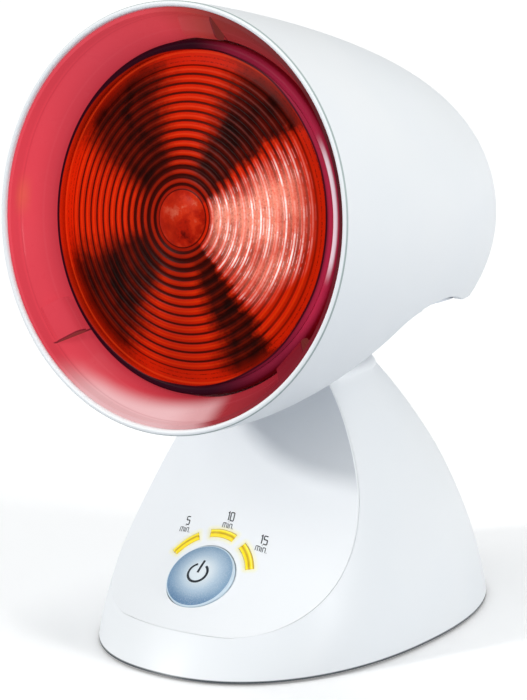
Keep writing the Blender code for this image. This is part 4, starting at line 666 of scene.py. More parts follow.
class Look:
    """A procedural material, built node by node round a Principled shader."""

    def __init__(self, name, frame=None, **sockets):
        self.material = bpy.data.materials.new(name)
        self.material.use_nodes = True
        self.tree = self.material.node_tree
        self.shader = self.tree.nodes["Principled BSDF"]
        for socket, value in sockets.items():
            self.set(socket.replace("_", " "), value)
        self.place = self.node("TexCoord").outputs["Object"]
        if frame is not None:
            spot = {"Location": frame.to_translation(), "Rotation": frame.to_euler()}
            mapping = self.node("Mapping", vector_type="TEXTURE", Vector=self.place, **spot)
            self.place = mapping.outputs[0]

    def node(self, kind, **values):
        """A node of a kind; capitalised names are its sockets and the others its settings."""
        node = self.tree.nodes.new("ShaderNode" + kind)
        for name, value in values.items():
            if name[0].isupper():
                self.link(value, node.inputs[name.replace("_", " ")])
            else:
                setattr(node, name, value)
        return node

    def link(self, value, socket):
        if isinstance(value, Field):
            value = value.socket
        if isinstance(value, bpy.types.NodeSocket):
            self.tree.links.new(value, socket)
        else:
            socket.default_value = srgb(value) if isinstance(value, str) else value

    def set(self, name, value):
        self.link(value, self.shader.inputs[name])

    def axes(self):
        split = self.node("SeparateXYZ", Vector=self.place)
        return [Field(self, socket) for socket in split.outputs]

    def polar(self):
        """Distance from the axis, angle in turns from 0 to 1 counted from the right, and height."""
        x, y, z = self.axes()
        turn = (y.calc("ARCTAN2", x) / (2 * pi) + 1.0).calc("FRACT")
        return length(x, y), turn, z

    def noise(self, scale, detail=3.0, rough=0.5, vector=None, stretch=None):
        source = self.place if vector is None else vector
        if stretch is not None:
            source = self.node("Mapping", Vector=source, Scale=stretch).outputs[0]
        sizes = {"Scale": scale, "Detail": detail, "Roughness": rough}
        return Field(self, self.node("TexNoise", Vector=source, **sizes).outputs["Fac"])

    def vector(self, x, y):
        return self.node("CombineXYZ", X=x, Y=y).outputs[0]

    def mix(self, factor, first, second):
        node = self.node("Mix", data_type="RGBA", Factor=factor)
        self.link(first, node.inputs[6])
        self.link(second, node.inputs[7])
        return Field(self, node.outputs[2])

    def colour(self, value):
        self.set("Base Color", value)

    def rough(self, scale, least, most):
        self.set("Roughness", self.noise(scale).step(0.3, 0.7, least, most))

    def glow(self, value, strength):
        self.set("Emission Color", value)
        self.set("Emission Strength", strength)

    def bump(self, height, strength, distance):
        node = self.node("Bump", Strength=strength, Distance=distance, Height=height)
        self.set("Normal", node.outputs[0])


def length(x, y):
    return (x * x + y * y).calc("SQRT")


def plastic(name, tone, darker, roughness, grain=900.0, relief=0.00002, strength=0.12):
    """Moulded plastic: a faint unevenness of tone and gloss and a fine orange-peel surface."""
    look = Look(name)
    look.colour(look.mix(look.noise(18.0, 2.0).step(0.3, 0.75), tone, darker))
    look.rough(60.0, roughness * 0.95, roughness * 1.06)
    look.bump(look.noise(grain, 2.0), strength, relief)
    return look


def metal(name, tone, darker, roughness, stretch=(1, 1, 12)):
    """Turned or drawn metal with fine marks along one direction."""
    look = Look(name, Metallic=1.0)
    marks = look.noise(700.0, stretch=stretch)
    look.colour(look.mix(marks.step(0.3, 0.75), tone, darker))
    look.rough(200.0, roughness * 0.8, roughness * 1.3)
    look.bump(marks, 0.15, 0.00003)
    return look


def gloss_white(name, frame, line_at, line_colour):
    """Glossy white moulding, with a thin line where a function of the look says."""
    look = Look(name, frame, Specular_IOR_Level=0.35)
    white = look.mix(look.noise(18.0, 2.0).step(0.3, 0.75), "f7f9fa", "f4f7f9")
    look.colour(white.mix(line_at(look), line_colour))
    look.rough(60.0, 0.38, 0.42)
    look.bump(look.noise(900.0, 2.0), 0.08, 0.00002)
    return look


def lip_line(look):
    """The fine grey line at the outer edge of the head's lip."""
    radius, _, forward = look.polar()
    edge = radius.step(RIM_RADIUS - 0.00042, RIM_RADIUS - 0.00022)
    return edge * forward.step(-0.00105, -0.00075) * 0.85


def foot_shadow_line(look):
    """The thin dark line along the base's foot: painted shadow of the gap under it."""
    return look.axes()[2].step(STAND_OFF + 0.0009, STAND_OFF + 0.0004)


def make_lens_look():
    """Red pressed glass with light painted on as if lit from behind by its mirror: rings, four dark
    sectors of painted reflection, pale painted highlight streaks.
    """
    look = Look("lens_glass", HEAD, Roughness=0.3, Specular_IOR_Level=0.02)
    radius, turn, _ = look.polar()
    ring = (radius - RING_START) / RING_PITCH
    off_valley = abs(ring.calc("FRACT") - 0.5)
    in_rings = radius.step(RING_START - 0.0002, RING_START + 0.0002) * radius.step(0.0524, 0.0518)
    wider = off_valley + radius.step(0.036, 0.012, 0.0, 0.16)
    valley = wider.step(0.3, 0.45) * in_rings
    crest = off_valley.step(0.15, 0.05) * in_rings
    whole = ring.calc("FLOOR")
    grain = look.noise(1300.0, 4.0, 0.75)
    # The fan at the right where the painted highlights fall
    highlight_fan = turn.ramp(
        (0, 1), (0.055, 1), (0.085, 0.7), (0.116, 0),
        (0.868, 0), (0.892, 0.7), (0.94, 0.85), (1, 1),
    )
    # Four dark sectors of painted reflection, with edges that break up from ring to ring
    jitter = look.noise(3.7, 1.0, vector=look.vector(whole, 0.37))
    wobble = (jitter - 0.5) * 0.035 + (look.noise(260.0, 4.0, 0.7) - 0.5) * 0.035
    turned = (turn + wobble + 1.0).calc("FRACT")
    dark_reflection = turned.ramp(
        (0, 0), (0.108, 0), (0.13, 1), (0.185, 1), (0.24, 0), (0.275, 0),
        (0.335, 1), (0.41, 1), (0.465, 0), (0.53, 0), (0.58, 1), (0.66, 1),
        (0.72, 0), (0.79, 0), (0.832, 1), (0.864, 1), (0.886, 0), (1, 0),
    )
    dark_reflection *= radius.step(0.0112, 0.02) * radius.step(0.0585, 0.0515, 0.45, 1.0)
    dark_reflection *= look.noise(120.0).step(0.25, 0.7, 1.0, 0.86)
    bright = look.mix(look.noise(70.0, 5.0), "ea2b04", "ce1c03")
    # Painted highlights along the ring crests
    bright = bright.mix(crest * 0.4, "ff460e")
    # Painted shade towards the middle outside the highlight fan, and towards the bottom
    inner = radius.step(0.028, 0.0125) * highlight_fan.step(0.5, 0.0) * 0.65
    bright = bright.mix(inner, "761308")
    low = turn.ramp((0, 0), (0.68, 0), (0.75, 0.4), (0.82, 0), (1, 0))
    bright = bright.mix(low, "8a1608")
    # The dark sectors keep faint painted reflections on their crests
    tone = bright.mix(dark_reflection, look.mix(crest * 0.7, "140402", "540f05"))
    # Painted shade in the ring valleys, fainter in the dark sectors and the fan
    line = valley * dark_reflection.step(0.0, 1.0, 0.9, 0.75) * highlight_fan.step(0.0, 1.0, 1.0, 0.6)
    tone = tone.mix(line, "200503")
    tone = tone.mix(grain.step(0.56, 0.78, 0.0, 0.16), "600e04")
    # Painted highlights at the right: a pale haze and broken bright arcs on the ring crests
    shape = turn.ramp(
        (0, 1), (0.06, 1), (0.11, 0.35), (0.5, 0), (0.88, 0.3), (0.93, 0.75), (1, 1)
    )
    short = turn.ramp((0, 0), (0.5, 0), (0.87, 0.01), (0.92, 0.007), (0.97, 0.001), (1, 0))
    reach = highlight_fan * dark_reflection.step(0.5, 0.05) * (radius + short).step(0.053, 0.044)
    reach *= radius.step(0.0108, 0.015)
    highlight_haze = reach * shape * look.noise(60.0).step(0.32, 0.62, 0.35, 1.0)
    highlight_haze *= grain.step(0.3, 0.6, 0.55, 1.0) * radius.step(0.05, 0.038, 0.55, 1.0)
    tone = tone.mix(highlight_haze * 0.68, "ffa68c")
    rays = look.noise(1.0, 3.0, 0.6, look.vector(radius * 50.0, turned * 12.0))
    broken = look.noise(1.0, 3.0, 0.6, look.vector(whole * 7.31, turned * 11.0))
    second = off_valley.band(0.3, 0.02, 0.07, 0.7) * look.noise(300.0, 2.0).step(0.45, 0.55)
    highlight_arcs = off_valley.step(0.15, 0.04).calc("MAXIMUM", second) * reach
    highlight_arcs *= rays.step(0.36, 0.56, 0.15, 1.0) * broken.step(0.34, 0.56, 0.15, 1.0)
    highlight_arcs *= grain.step(0.3, 0.5, 0.55, 1.0)
    tone = tone.mix(highlight_arcs, "fff4ee")
    # The painted highlights glow
    look.glow(look.mix(highlight_haze.calc("MAXIMUM", highlight_arcs), "000000", tone), 0.42)
    # Mottled middle dome between two thin dark rings, its palest blotches painted highlights and
    # its left side darker with painted shade
    blotch = look.noise(120.0, 4.0, 0.62)
    middle = blotch.ramp(
        (0.3, "680c06"), (0.45, "ba1e0a"),
        (0.58, "d83214"), (0.76, "fa9674"),
    )
    # Painted shade on the left of the dome
    shaded_left = look.axes()[0].step(0.001, -0.003, 0.0, 0.75)
    middle = middle.mix(shaded_left, look.mix(blotch, "7a1007", "d62c10"))
    tone = tone.mix(radius.step(0.01, 0.0096), middle)
    for place in (0.0099, 0.0113):
        tone = tone.mix(radius.band(place, 0.00012, 0.00034, 0.85), "460805")
    # Plain band outside the rings: dotted lines and a bright line next to the rim
    for place in (0.0533, 0.0548):
        dots = radius.band(place, 0.0001, 0.0003, 0.6) * grain.step(0.42, 0.6)
        tone = tone.mix(dots, "500c04")
    tone = tone.mix(radius.band(0.0563, 0.0001, 0.0005, 0.3), "ff541e")
    # Dark purple rim, with a painted crimson reflection at the right and a white painted highlight
    # streak
    side = turn.ramp(
        (0, 1), (0.08, 0.9), (0.14, 0.75), (0.21, 0.5), (0.27, 0),
        (0.78, 0), (0.87, 0.4), (0.94, 0.9), (1, 1),
    )
    side *= radius.band(0.0584, 0.0022, 0.004, 1.0)
    rim = look.mix(side, "300a1a", "c42c4e")
    # White painted highlight streak on the rim at the right
    rim_highlight = turn.ramp((0, 1), (0.065, 1), (0.1, 0), (0.955, 0), (0.985, 1), (1, 1))
    rim_highlight *= radius.band(0.0585, 0.0005, 0.0013, 0.95)
    rim = rim.mix(rim_highlight, "ffe8f0")
    inner_edge = radius + turn.ramp(
        (0, 0.0042), (0.1, 0.0036), (0.2, 0.0022), (0.25, 0.0016),
        (0.34, 0.0008), (0.42, 0), (0.6, 0), (0.7, 0.0006),
        (0.76, 0.0014), (0.85, 0.003), (0.93, 0.004), (1, 0.0042),
    )
    tone = tone.mix(inner_edge.step(0.0586, 0.059), rim)
    tone = tone.mix(inner_edge.band(0.059, 0.0001, 0.0005, 0.85), "340816")
    look.colour(tone)
    look.bump(look.noise(500.0), 0.2, 0.00006)
    return look


def make_liner_look():
    """Glossy red reflector with the bulb's light painted on: painted shade deep at the right and
    brownish at the top, a pale painted highlight by the lip below.
    """
    coat = {"Coat_Weight": 0.03, "Coat_Roughness": 0.1}
    look = Look("liner_plastic", HEAD, Specular_IOR_Level=0.08, **coat)
    radius, turn, forward = look.polar()
    # Painted light and shade round the mouth: dark at the right, brownish at the top, bright on the
    # left wall
    tone = turn.ramp(
        (0.0, "420814"), (0.1, "481218"), (0.17, "682a2a"),
        (0.225, "843430"), (0.245, "aa3c36"), (0.29, "de4a54"),
        (0.36, "e24a58"), (0.45, "ee4c5a"), (0.52, "ec4a58"),
        (0.6, "e04654"), (0.7, "d4424e"), (0.8, "9c3238"),
        (0.88, "701422"), (1.0, "420814"),
        interpolation="LINEAR",
    )
    tone = tone.mix(look.noise(14.0, 1.0).step(0.35, 0.7, 0.0, 0.16), "ce3442")
    # Painted shade deeper in, towards the bulb
    tone = tone.mix(forward.step(-0.008, -0.018, 0.0, 0.4), "b02634")
    # A pale painted highlight on the lower wall by the lip
    pale = turn.ramp(
        (0.0, 0), (0.635, 0), (0.69, 0.95), (0.75, 1), (0.785, 0.7), (0.81, 0), (1, 0)
    )
    pale *= (forward + (turn - 0.68) * 0.06).step(-0.0125, -0.005)
    tone = tone.mix(pale * 0.85, "eec8ca")
    tone = tone.mix(forward.band(-0.0061, 0.0001, 0.0004, 0.15), "962834")
    tone = tone.mix(forward.band(-0.0128, 0.0001, 0.0005, 0.06), "f07882")
    # A brighter orange painted highlight on the left wall near the lip
    spot = turn.band(0.5, 0.0, 0.022, 0.5) * forward.band(-0.006, 0.0005, 0.004, 1.0)
    tone = tone.mix(spot, "ec6a50")
    # Tabs: painted shade keeps them a little darker than the cone, with brownish shaded ends and a
    # thin dark shaded line along their edges
    neck = BULB_RADIUS + LINER_GAP
    slope = shell_inner_radius(LINER_FRONT) - GAP - LINER_WALL - neck
    slope /= LINER_CONE - LINER_FRONT
    proud = forward * slope + (neck + slope * LINER_CONE) - radius
    proud = proud.step(0.0002, 0.001, 0.0, 0.1) * forward.step(-0.0166, -0.015)
    tone = tone.mix(proud, "5a141e")
    x, y, _ = look.axes()
    for angle in TAB_ANGLES:
        across = (x * cos(angle) - y * sin(angle)) * copysign(1, cos(angle))
        outward = x * sin(angle) + y * cos(angle)
        here = outward.step(0.055, 0.056) * forward.step(-0.0042, -0.0056)
        line = here * across.band(TAB_WIDTH / 2 - 0.0003, 0.0002, 0.0004, 0.8)
        tone = tone.mix(line, "5c101e")
        end = here * across.band(TAB_WIDTH / 2, 0.00004, 0.00008, 0.9)
        tone = tone.mix(end, "76322e")
    # The liner glows with its painted tone, though it is no lamp
    look.colour(look.mix(0.6, tone, "180205"))
    look.glow(tone, 0.7)
    look.rough(120.0, 0.26, 0.36)
    look.bump(look.noise(260.0), 0.06, 0.00005)
    return look


def make_button_look():
    """Silver-blue button, pale round the symbol and deeper towards its lower edge."""
    gloss = {"Roughness": 0.42, "Specular_IOR_Level": 0.2}
    look = Look("button_lacquer", CONTROLS, Coat_Weight=0.08, Coat_Roughness=0.2, **gloss)
    x, y, _ = look.axes()
    away = length((x - 0.0008) / 0.0132, (y - 0.0006) / 0.0132)
    tone = away.ramp(
        (0.0, "eef5f9"), (0.28, "e4eef4"), (0.58, "b2c8da"),
        (0.86, "88a7c3"), (1.0, "7497b8"),
        interpolation="LINEAR",
    )
    low = y.step(-0.003, -0.0125) * away.step(0.5, 1.0) * 0.7
    tone = tone.mix(low, "4e78a0")
    sparkle = look.noise(2600.0, 2.0)
    tone = tone.mix(sparkle.step(0.45, 0.75, 0.0, 0.18), "f6fafc")
    tone = tone.mix(length(x, y).step(0.01235, 0.01255), "cedfeb")
    look.colour(tone)
    look.bump(sparkle, 0.05, 0.00002)
    return look


def make_guide_look():
    """Yellow light windows with a deeper band along their middle and a dark edge."""
    look = Look("window_yellow", CONTROLS, Roughness=0.25, Coat_Weight=0.5, Coat_Roughness=0.1)
    across = (look.polar()[0] - (GUIDE_RADIUS - 0.0002)) / GUIDE_WIDTH + 0.5
    tone = across.ramp(
        (0.0, "ceaa0a"), (0.1, "fade14"), (0.33, "ffe200"),
        (0.5, "c49e00"), (0.6, "cea800"), (0.78, "ffe814"),
        (0.92, "fff05a"), (1.0, "d6b414"),
        interpolation="LINEAR",
    )
    tone = tone.mix(look.noise(400.0).step(0.4, 0.7, 0.0, 0.12), "fff578")
    look.colour(tone)
    look.glow(tone, 0.15)
    return look


def make_panel_look():
    """Glossy white face, with the windows' yellow light spread a little round them."""
    look = Look("panel_gloss", CONTROLS, Specular_IOR_Level=0.35)
    radius, turn, _ = look.polar()
    side = (abs(radius - GUIDE_RADIUS) - GUIDE_WIDTH / 2).calc("MAXIMUM", 0.0)
    halo = 0.0
    for index in GUIDE_WORDS:
        middle = 0.25 - GUIDE_STEP / (2 * pi) * index
        along = (abs(turn - middle) - GUIDE_SPAN / (4 * pi)) * (2 * pi * GUIDE_RADIUS)
        reach = length(along.calc("MAXIMUM", 0.0), side)
        halo = reach.step(0.0022, 0.0).calc("MAXIMUM", halo)
    base = look.mix(look.noise(22.0, 2.0), "fbfdfe", "f9fbfd")
    look.colour(base.mix(halo * 0.5, "fff696"))
    look.rough(70.0, 0.34, 0.38)
    look.bump(look.noise(700.0, 2.0), 0.06, 0.00002)
    return look


def make_board_look():
    """Green board with copper tracks under the lacquer."""
    look = Look("board_lacquer", Roughness=0.35, Coat_Weight=0.3)
    lines = abs(look.noise(260.0, 0.0, stretch=(1, 0.15, 1)) - 0.5).step(0.03, 0.02)
    look.colour(look.mix(lines, "125c2c", "2c8c4a"))
    look.bump(lines, 0.3, 0.00003)
    return look


def make_glass_look():
    look = Look("stem_glass", Roughness=0.06, Transmission_Weight=0.8, IOR=1.5)
    look.colour(look.mix(look.noise(150.0), "e2e8ea", "ced6da"))
    return look


DULL = {"relief": 0.00006, "strength": 0.4}
LOOKS = {
    "housing_white": gloss_white("housing_gloss", HEAD, lip_line, "96a8a4"),
    "panel_white": make_panel_look(),
    "cover_grey": plastic(
        "cover_satin", "e2e7ec", "dce1e7", 0.42, relief=0.00005, strength=0.3
    ),
    "liner_red": make_liner_look(),
    "lens_red": make_lens_look(),
    "bulb_mirror": metal(
        "mirror_glass", "ce9692", "b47876", 0.12, stretch=(1, 1, 1)
    ),
    "bulb_brass": metal("cap_brass", "d6ba78", "b29458", 0.3),
    "glass_clear": make_glass_look(),
    "tungsten": metal("wire_tungsten", "787674", "545250", 0.4),
    "ceramic": plastic("holder_ceramic", "ece8de", "e0dace", 0.34, grain=400.0),
    "steel": metal("screw_steel", "c6c8cc", "96999e", 0.32),
    "button_blue": make_button_look(),
    "lamp_yellow": make_guide_look(),
    "rubber_black": plastic(
        "foot_rubber", "2a2a2c", "1e1e20", 0.75, 1400.0, relief=0.0001, strength=0.5
    ),
    "board_green": make_board_look(),
    "plastic_black": plastic("inner_plastic", "323336", "26272a", 0.5, **DULL),
    "relay_blue": plastic("relay_plastic", "2854a0", "20468c", 0.4),
}
# The base's glossy white, with a painted shadow line along its foot
BASE = gloss_white("base_gloss", None, foot_shadow_line, "464c52")
# Dark grey sole plate: partly its own colour, partly chosen as painted shade for the gap under the
# base's foot
SOLE = plastic("sole_plastic", "2c2e32", "222428", 0.5, **DULL)
INK = plastic("mark_ink", "1e2228", "282c32", 0.5)
SYMBOL = plastic("symbol_ink", "141e28", "1c2630", 0.35)

for name, node in frame["nodes"].items():
    for i, slot in enumerate(node.material_slots):
        look = SOLE if name == "floor_plate" else LOOKS[slot.material.name.split(".")[0]]
        node.data.materials[i] = look.material


def dress(piece, body, slot, *replaced, look=None, normal_at=None, sharp=32):
    """Gives a piece its shading, its look (by default its slot's), its body, and hides the nodes it
    stands for.
    """
    if replaced:
        smooth_with(piece, normal_at, sharp)
    piece.data.transform(piece.matrix_world)
    piece.matrix_world = WORLD
    piece.data.materials.clear()
    piece.data.materials.append((look or LOOKS[slot]).material)
    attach(piece, body)
    if replaced:
        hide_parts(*replaced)


# Head pieces


def head_point(depth, up, across):
    return across, up, -depth


def cut_outline():
    """What the slanted and flat cut takes away, as (depth, up) points, with the grip's arch."""
    deep = HEAD_LENGTH + OVERRUN
    low = -RIM_RADIUS - OVERRUN
    line = [(CUT_DEPTH + (low + CUT_START) / tan(CUT_SLOPE), low)]
    for i in range(CUT_BEND_STEPS + 1):
        run = CUT_CORNER + CUT_SETBACK - CUT_BEND
        depth = CUT_BEND + run * i / CUT_BEND_STEPS
        line.append((depth, -cut_drop(depth)))
    grip_radius = (GRIP_HALF**2 + GRIP_RISE**2) / (2 * GRIP_RISE)
    half_angle = asin(GRIP_HALF / grip_radius)
    centre = (GRIP_DEPTH, -CUT_FLAT + GRIP_RISE - grip_radius)
    grip = arc_points(centre, grip_radius, pi / 2 + half_angle, pi / 2 - half_angle, GRIP_POINTS)
    line = [point for point in line if point[0] < grip[0][0]]
    return line + grip + [(deep, -CUT_FLAT), (deep, low)]


def slot_outline(half_length, half_height):
    """A long hole with round ends."""
    run = half_length - half_height
    points = arc_points((run, 0), half_height, -pi / 2, pi / 2, VENT_END_POINTS)
    return points + arc_points((-run, 0), half_height, pi / 2, pi * 1.5, VENT_END_POINTS)


def make_head_housing():
    points = [(radius, -depth) for radius, depth in reversed(SHELL_INNER)]
    outer, inner = shell_radius(LIP_ROUND), points[-1][0]
    for i in range(1, LIP_STEPS):
        angle = pi * (1 - i / LIP_STEPS)
        radius = (outer + inner) / 2 + (outer - inner) / 2 * cos(angle)
        points.append((radius, LIP_ROUND * (sin(angle) - 1)))
    depths = shell_depths(HEAD_OUTER_ROWS, LIP_ROUND, HEAD_LENGTH)
    points += [(shell_radius(depth), -depth) for depth in depths[:-1]]
    points.append((0, -HEAD_LENGTH))
    housing = new_object("head_housing", turned_mesh(points, HEAD_SEGMENTS), HEAD)
    low = -CUT_FLAT + COVER_WALL + GAP
    for across, depth in cover_screw_places():
        boss = cylinder_mesh(BOSS_RADIUS, low, low + BOSS_HEIGHT, BOSS_SEGMENTS)
        join(housing, boss, HEAD @ at(across, 0, -depth) @ UPRIGHT)
    half = RIM_RADIUS + OVERRUN
    cut(housing, prism_mesh(cut_outline(), -half, half, head_point), HEAD)
    for i in range(BACK_VENT_COUNT):
        up = BACK_VENT_PITCH * (i - (BACK_VENT_COUNT - 1) / 2)
        outline = slot_outline(sqrt(BACK_VENT_REACH**2 - up**2), BACK_VENT_HEIGHT / 2)
        vent = prism_mesh(outline, -HEAD_LENGTH - OVERRUN, OVERRUN - HEAD_LENGTH)
        cut(housing, vent, HEAD @ at(0, up, 0))
    dress(housing, "head", "housing_white", "head_shell", normal_at=shell_normal)


def cover_section(depth, rise):
    inner = shell_inner_radius(depth) - GAP * 1.5
    edge_drop = min(cut_drop(depth), inner * COVER_EDGE_SHARE)
    edge = sqrt(inner**2 - edge_drop**2)
    middle_drop = max(cover_drop(depth), edge_drop)
    row = []
    for i in range(COVER_COLUMNS + 1):
        share = 2 * i / COVER_COLUMNS - 1
        drop = middle_drop + (edge_drop - middle_drop) * abs(share) ** COVER_BULGE_POWER
        row.append((share * edge, rise - drop, -depth))
    return row


def make_cover():
    rear = HEAD_LENGTH - SHELL_WALL - COVER_MARGIN
    step = COVER_WALL / 2
    rows = []
    for i in range(COVER_ROWS + 1):
        depth = COVER_FRONT + (rear - COVER_FRONT) * i / COVER_ROWS
        slope = (cut_drop(depth + step) - cut_drop(depth - step)) / (step * 2)
        upper = cover_section(depth, COVER_WALL * hypot(1, slope))
        rows.append(cover_section(depth, 0) + upper[::-1])
    cover = new_object("underside", loft_mesh(rows), HEAD)
    inner_face = KNUCKLE_HALF + GAP
    root = -CUT_FLAT + COVER_WALL / 2
    foot = CHEEK_RADIUS + COVER_WALL
    outline = arc_points((PIVOT_DEPTH, -PIVOT_DROP), CHEEK_RADIUS, pi, 2 * pi, CHEEK_POINTS)
    outline = [(PIVOT_DEPTH - foot, root), *outline, (PIVOT_DEPTH + foot, root)]
    for side in (-1, 1):
        near, far = sorted((side * inner_face, side * (inner_face + CHEEK_WALL)))
        join(cover, prism_mesh(outline, near, far, head_point), HEAD)
    reach = inner_face + CHEEK_WALL + OVERRUN
    bore = cylinder_mesh(AXLE_RADIUS + GAP, -reach, reach, AXLE_SEGMENTS)
    cut(cover, bore, HEAD @ at(0, -PIVOT_DROP, -PIVOT_DEPTH) @ ALONG_X)
    places = cover_screw_places()
    places += [(side * PLATE_SPREAD, PLATE_DEPTH) for side in (-1, 1)]
    sink = SCREW_HEAD - SCREW_RADIUS
    mouth = SCREW_HEAD + GAP + OVERRUN
    for across, depth in places:
        place = HEAD @ at(across, -CUT_FLAT, -depth) @ UPRIGHT
        hole = cylinder_mesh(SCREW_RADIUS + GAP, -OVERRUN, OVERRUN, SCREW_SEGMENTS)
        cut(cover, hole, place)
        funnel = cylinder_mesh(mouth, -OVERRUN, sink + GAP, SCREW_SEGMENTS, SCREW_RADIUS)
        cut(cover, funnel, place)
    half_slot = VENT_LENGTH / 2
    low, high = CUT_FLAT - COVER_WALL * 2, RIM_RADIUS
    for i in range(VENT_COUNT):
        for side in (-1, 1):
            across = side * VENT_PITCH * (i + 1)
            vent = prism_mesh(slot_outline(half_slot, VENT_WIDTH / 2), low, high)
            place = HEAD @ at(across, 0, -VENT_DEPTH - half_slot)
            cut(cover, vent, place @ spin("X", pi / 2) @ spin("Z", pi / 2))
    dress(cover, "head", "cover_grey", "underside_cover")


def make_liner():
    front = shell_inner_radius(LINER_FRONT) - GAP
    lip = shell_inner_radius(LINER_LIP) - GAP
    neck = BULB_RADIUS + LINER_GAP
    points = [
        (lip, -LINER_LIP),
        (front, -LINER_FRONT - LINER_WALL * 2),
        (neck + LINER_WALL, -LINER_CONE - LINER_WALL),
        (neck + LINER_WALL, -LINER_BACK),
        (neck, -LINER_BACK),
        (neck, -LINER_CONE - LINER_WALL / 2),
    ]
    for i in range(LINER_STEPS + 1):
        radius = neck + (front - LINER_WALL - neck) * i / LINER_STEPS
        points.append((radius, -LINER_CONE - (LINER_FRONT - LINER_CONE) * i / LINER_STEPS))
    points.append((lip - LINER_WALL, -LINER_LIP))
    liner = new_object("liner", turned_mesh(points, HEAD_SEGMENTS, closed=True), HEAD)
    inner = BULB_RADIUS + TAB_GAP - GAP
    slope = (front - neck) / (LINER_CONE - LINER_FRONT)
    top = front - slope * (TAB_FRONT + LINER_WALL - LINER_FRONT)
    outline = [
        (inner, -TAB_BACK),
        (neck + LINER_WALL, -TAB_BACK),
        (top - LINER_WALL / 2, -TAB_FRONT - LINER_WALL),
        (top - LINER_WALL * 2, -TAB_FRONT - LINER_WALL),
        *((inner + TAB_CREST_DROP * drop, ahead - TAB_CREST) for drop, ahead in TAB_CURVE),
        (inner, -TAB_BACK + LINER_WALL),
    ]
    for angle in TAB_ANGLES:
        half = TAB_WIDTH / 2
        tab = prism_mesh(outline, -half, half, lambda radius, forward, x: (x, radius, forward))
        join(liner, tab, HEAD @ spin("Z", -angle))
    dress(liner, "head", "liner_red", "liner_ring")


def lens_front(radius):
    return LENS_CROWN * (1 - (radius / LAND_RADIUS) ** 2) - BULB_RECESS


def make_lens():
    profile = []
    for i in range(LENS_DOME_STEPS + 1):
        rise = LENS_DOME_RISE * sqrt(1 - (i / LENS_DOME_STEPS) ** 2)
        profile.append((LENS_DOME * i / LENS_DOME_STEPS, rise))
    profile.append(((LENS_DOME + RING_START) / 2, None))
    for i in range(RING_COUNT * RING_STEPS):
        rise = RING_RELIEF * (1 - (2 * (i % RING_STEPS) / RING_STEPS - 1) ** 2)
        profile.append((RING_START + RING_PITCH * i / RING_STEPS, rise))
    last = RING_START + RING_PITCH * RING_COUNT
    for i in range(LAND_STEPS + 1):
        profile.append((last + (LAND_RADIUS - last) * i / LAND_STEPS, 0))
    groove = lens_front(LENS_DOME) + RING_RELIEF / 3
    points = [(r, groove if rise is None else lens_front(r) + rise) for r, rise in profile]
    rim = (BULB_RADIUS - LAND_RADIUS) / 2
    rise = rim * LENS_EDGE_RISE
    for i in range(1, LENS_EDGE_STEPS):
        angle = pi * (1 - i / LENS_EDGE_STEPS)
        height = -BULB_RECESS - rise * LENS_EDGE_SINK + rise * sin(angle)
        points.append((LAND_RADIUS + rim + rim * cos(angle), height))
    points.append((BULB_RADIUS, -BULB_RECESS - rise))
    points.append((BULB_RADIUS, -BULB_RECESS - LENS_EDGE))
    points.append((LAND_RADIUS, -BULB_RECESS - LENS_EDGE))
    for i in range(1, LENS_BACK_STEPS + 1):
        radius = LAND_RADIUS * (1 - i / LENS_BACK_STEPS)
        points.append((radius, lens_front(radius) - LENS_WALL))
    lens = new_object("lens", turned_mesh(points, BULB_SEGMENTS), HEAD)
    dress(lens, "head", "lens_red", "bulb_lens", sharp=50)


def make_bowl():
    mouth = BULB_RECESS + LENS_EDGE + GAP
    outer = [mouth + (NECK_END - mouth) * i / BOWL_ROWS for i in range(BOWL_ROWS + 1)]
    points = [(bowl_radius(depth), -depth) for depth in outer]
    points += [(radius - BOWL_WALL, height) for radius, height in points[::-1]]
    bowl = new_object("bowl", turned_mesh(points, BULB_SEGMENTS, closed=True), HEAD)
    dress(bowl, "head", "bulb_mirror", "bulb_bowl", sharp=50)


# Base pieces


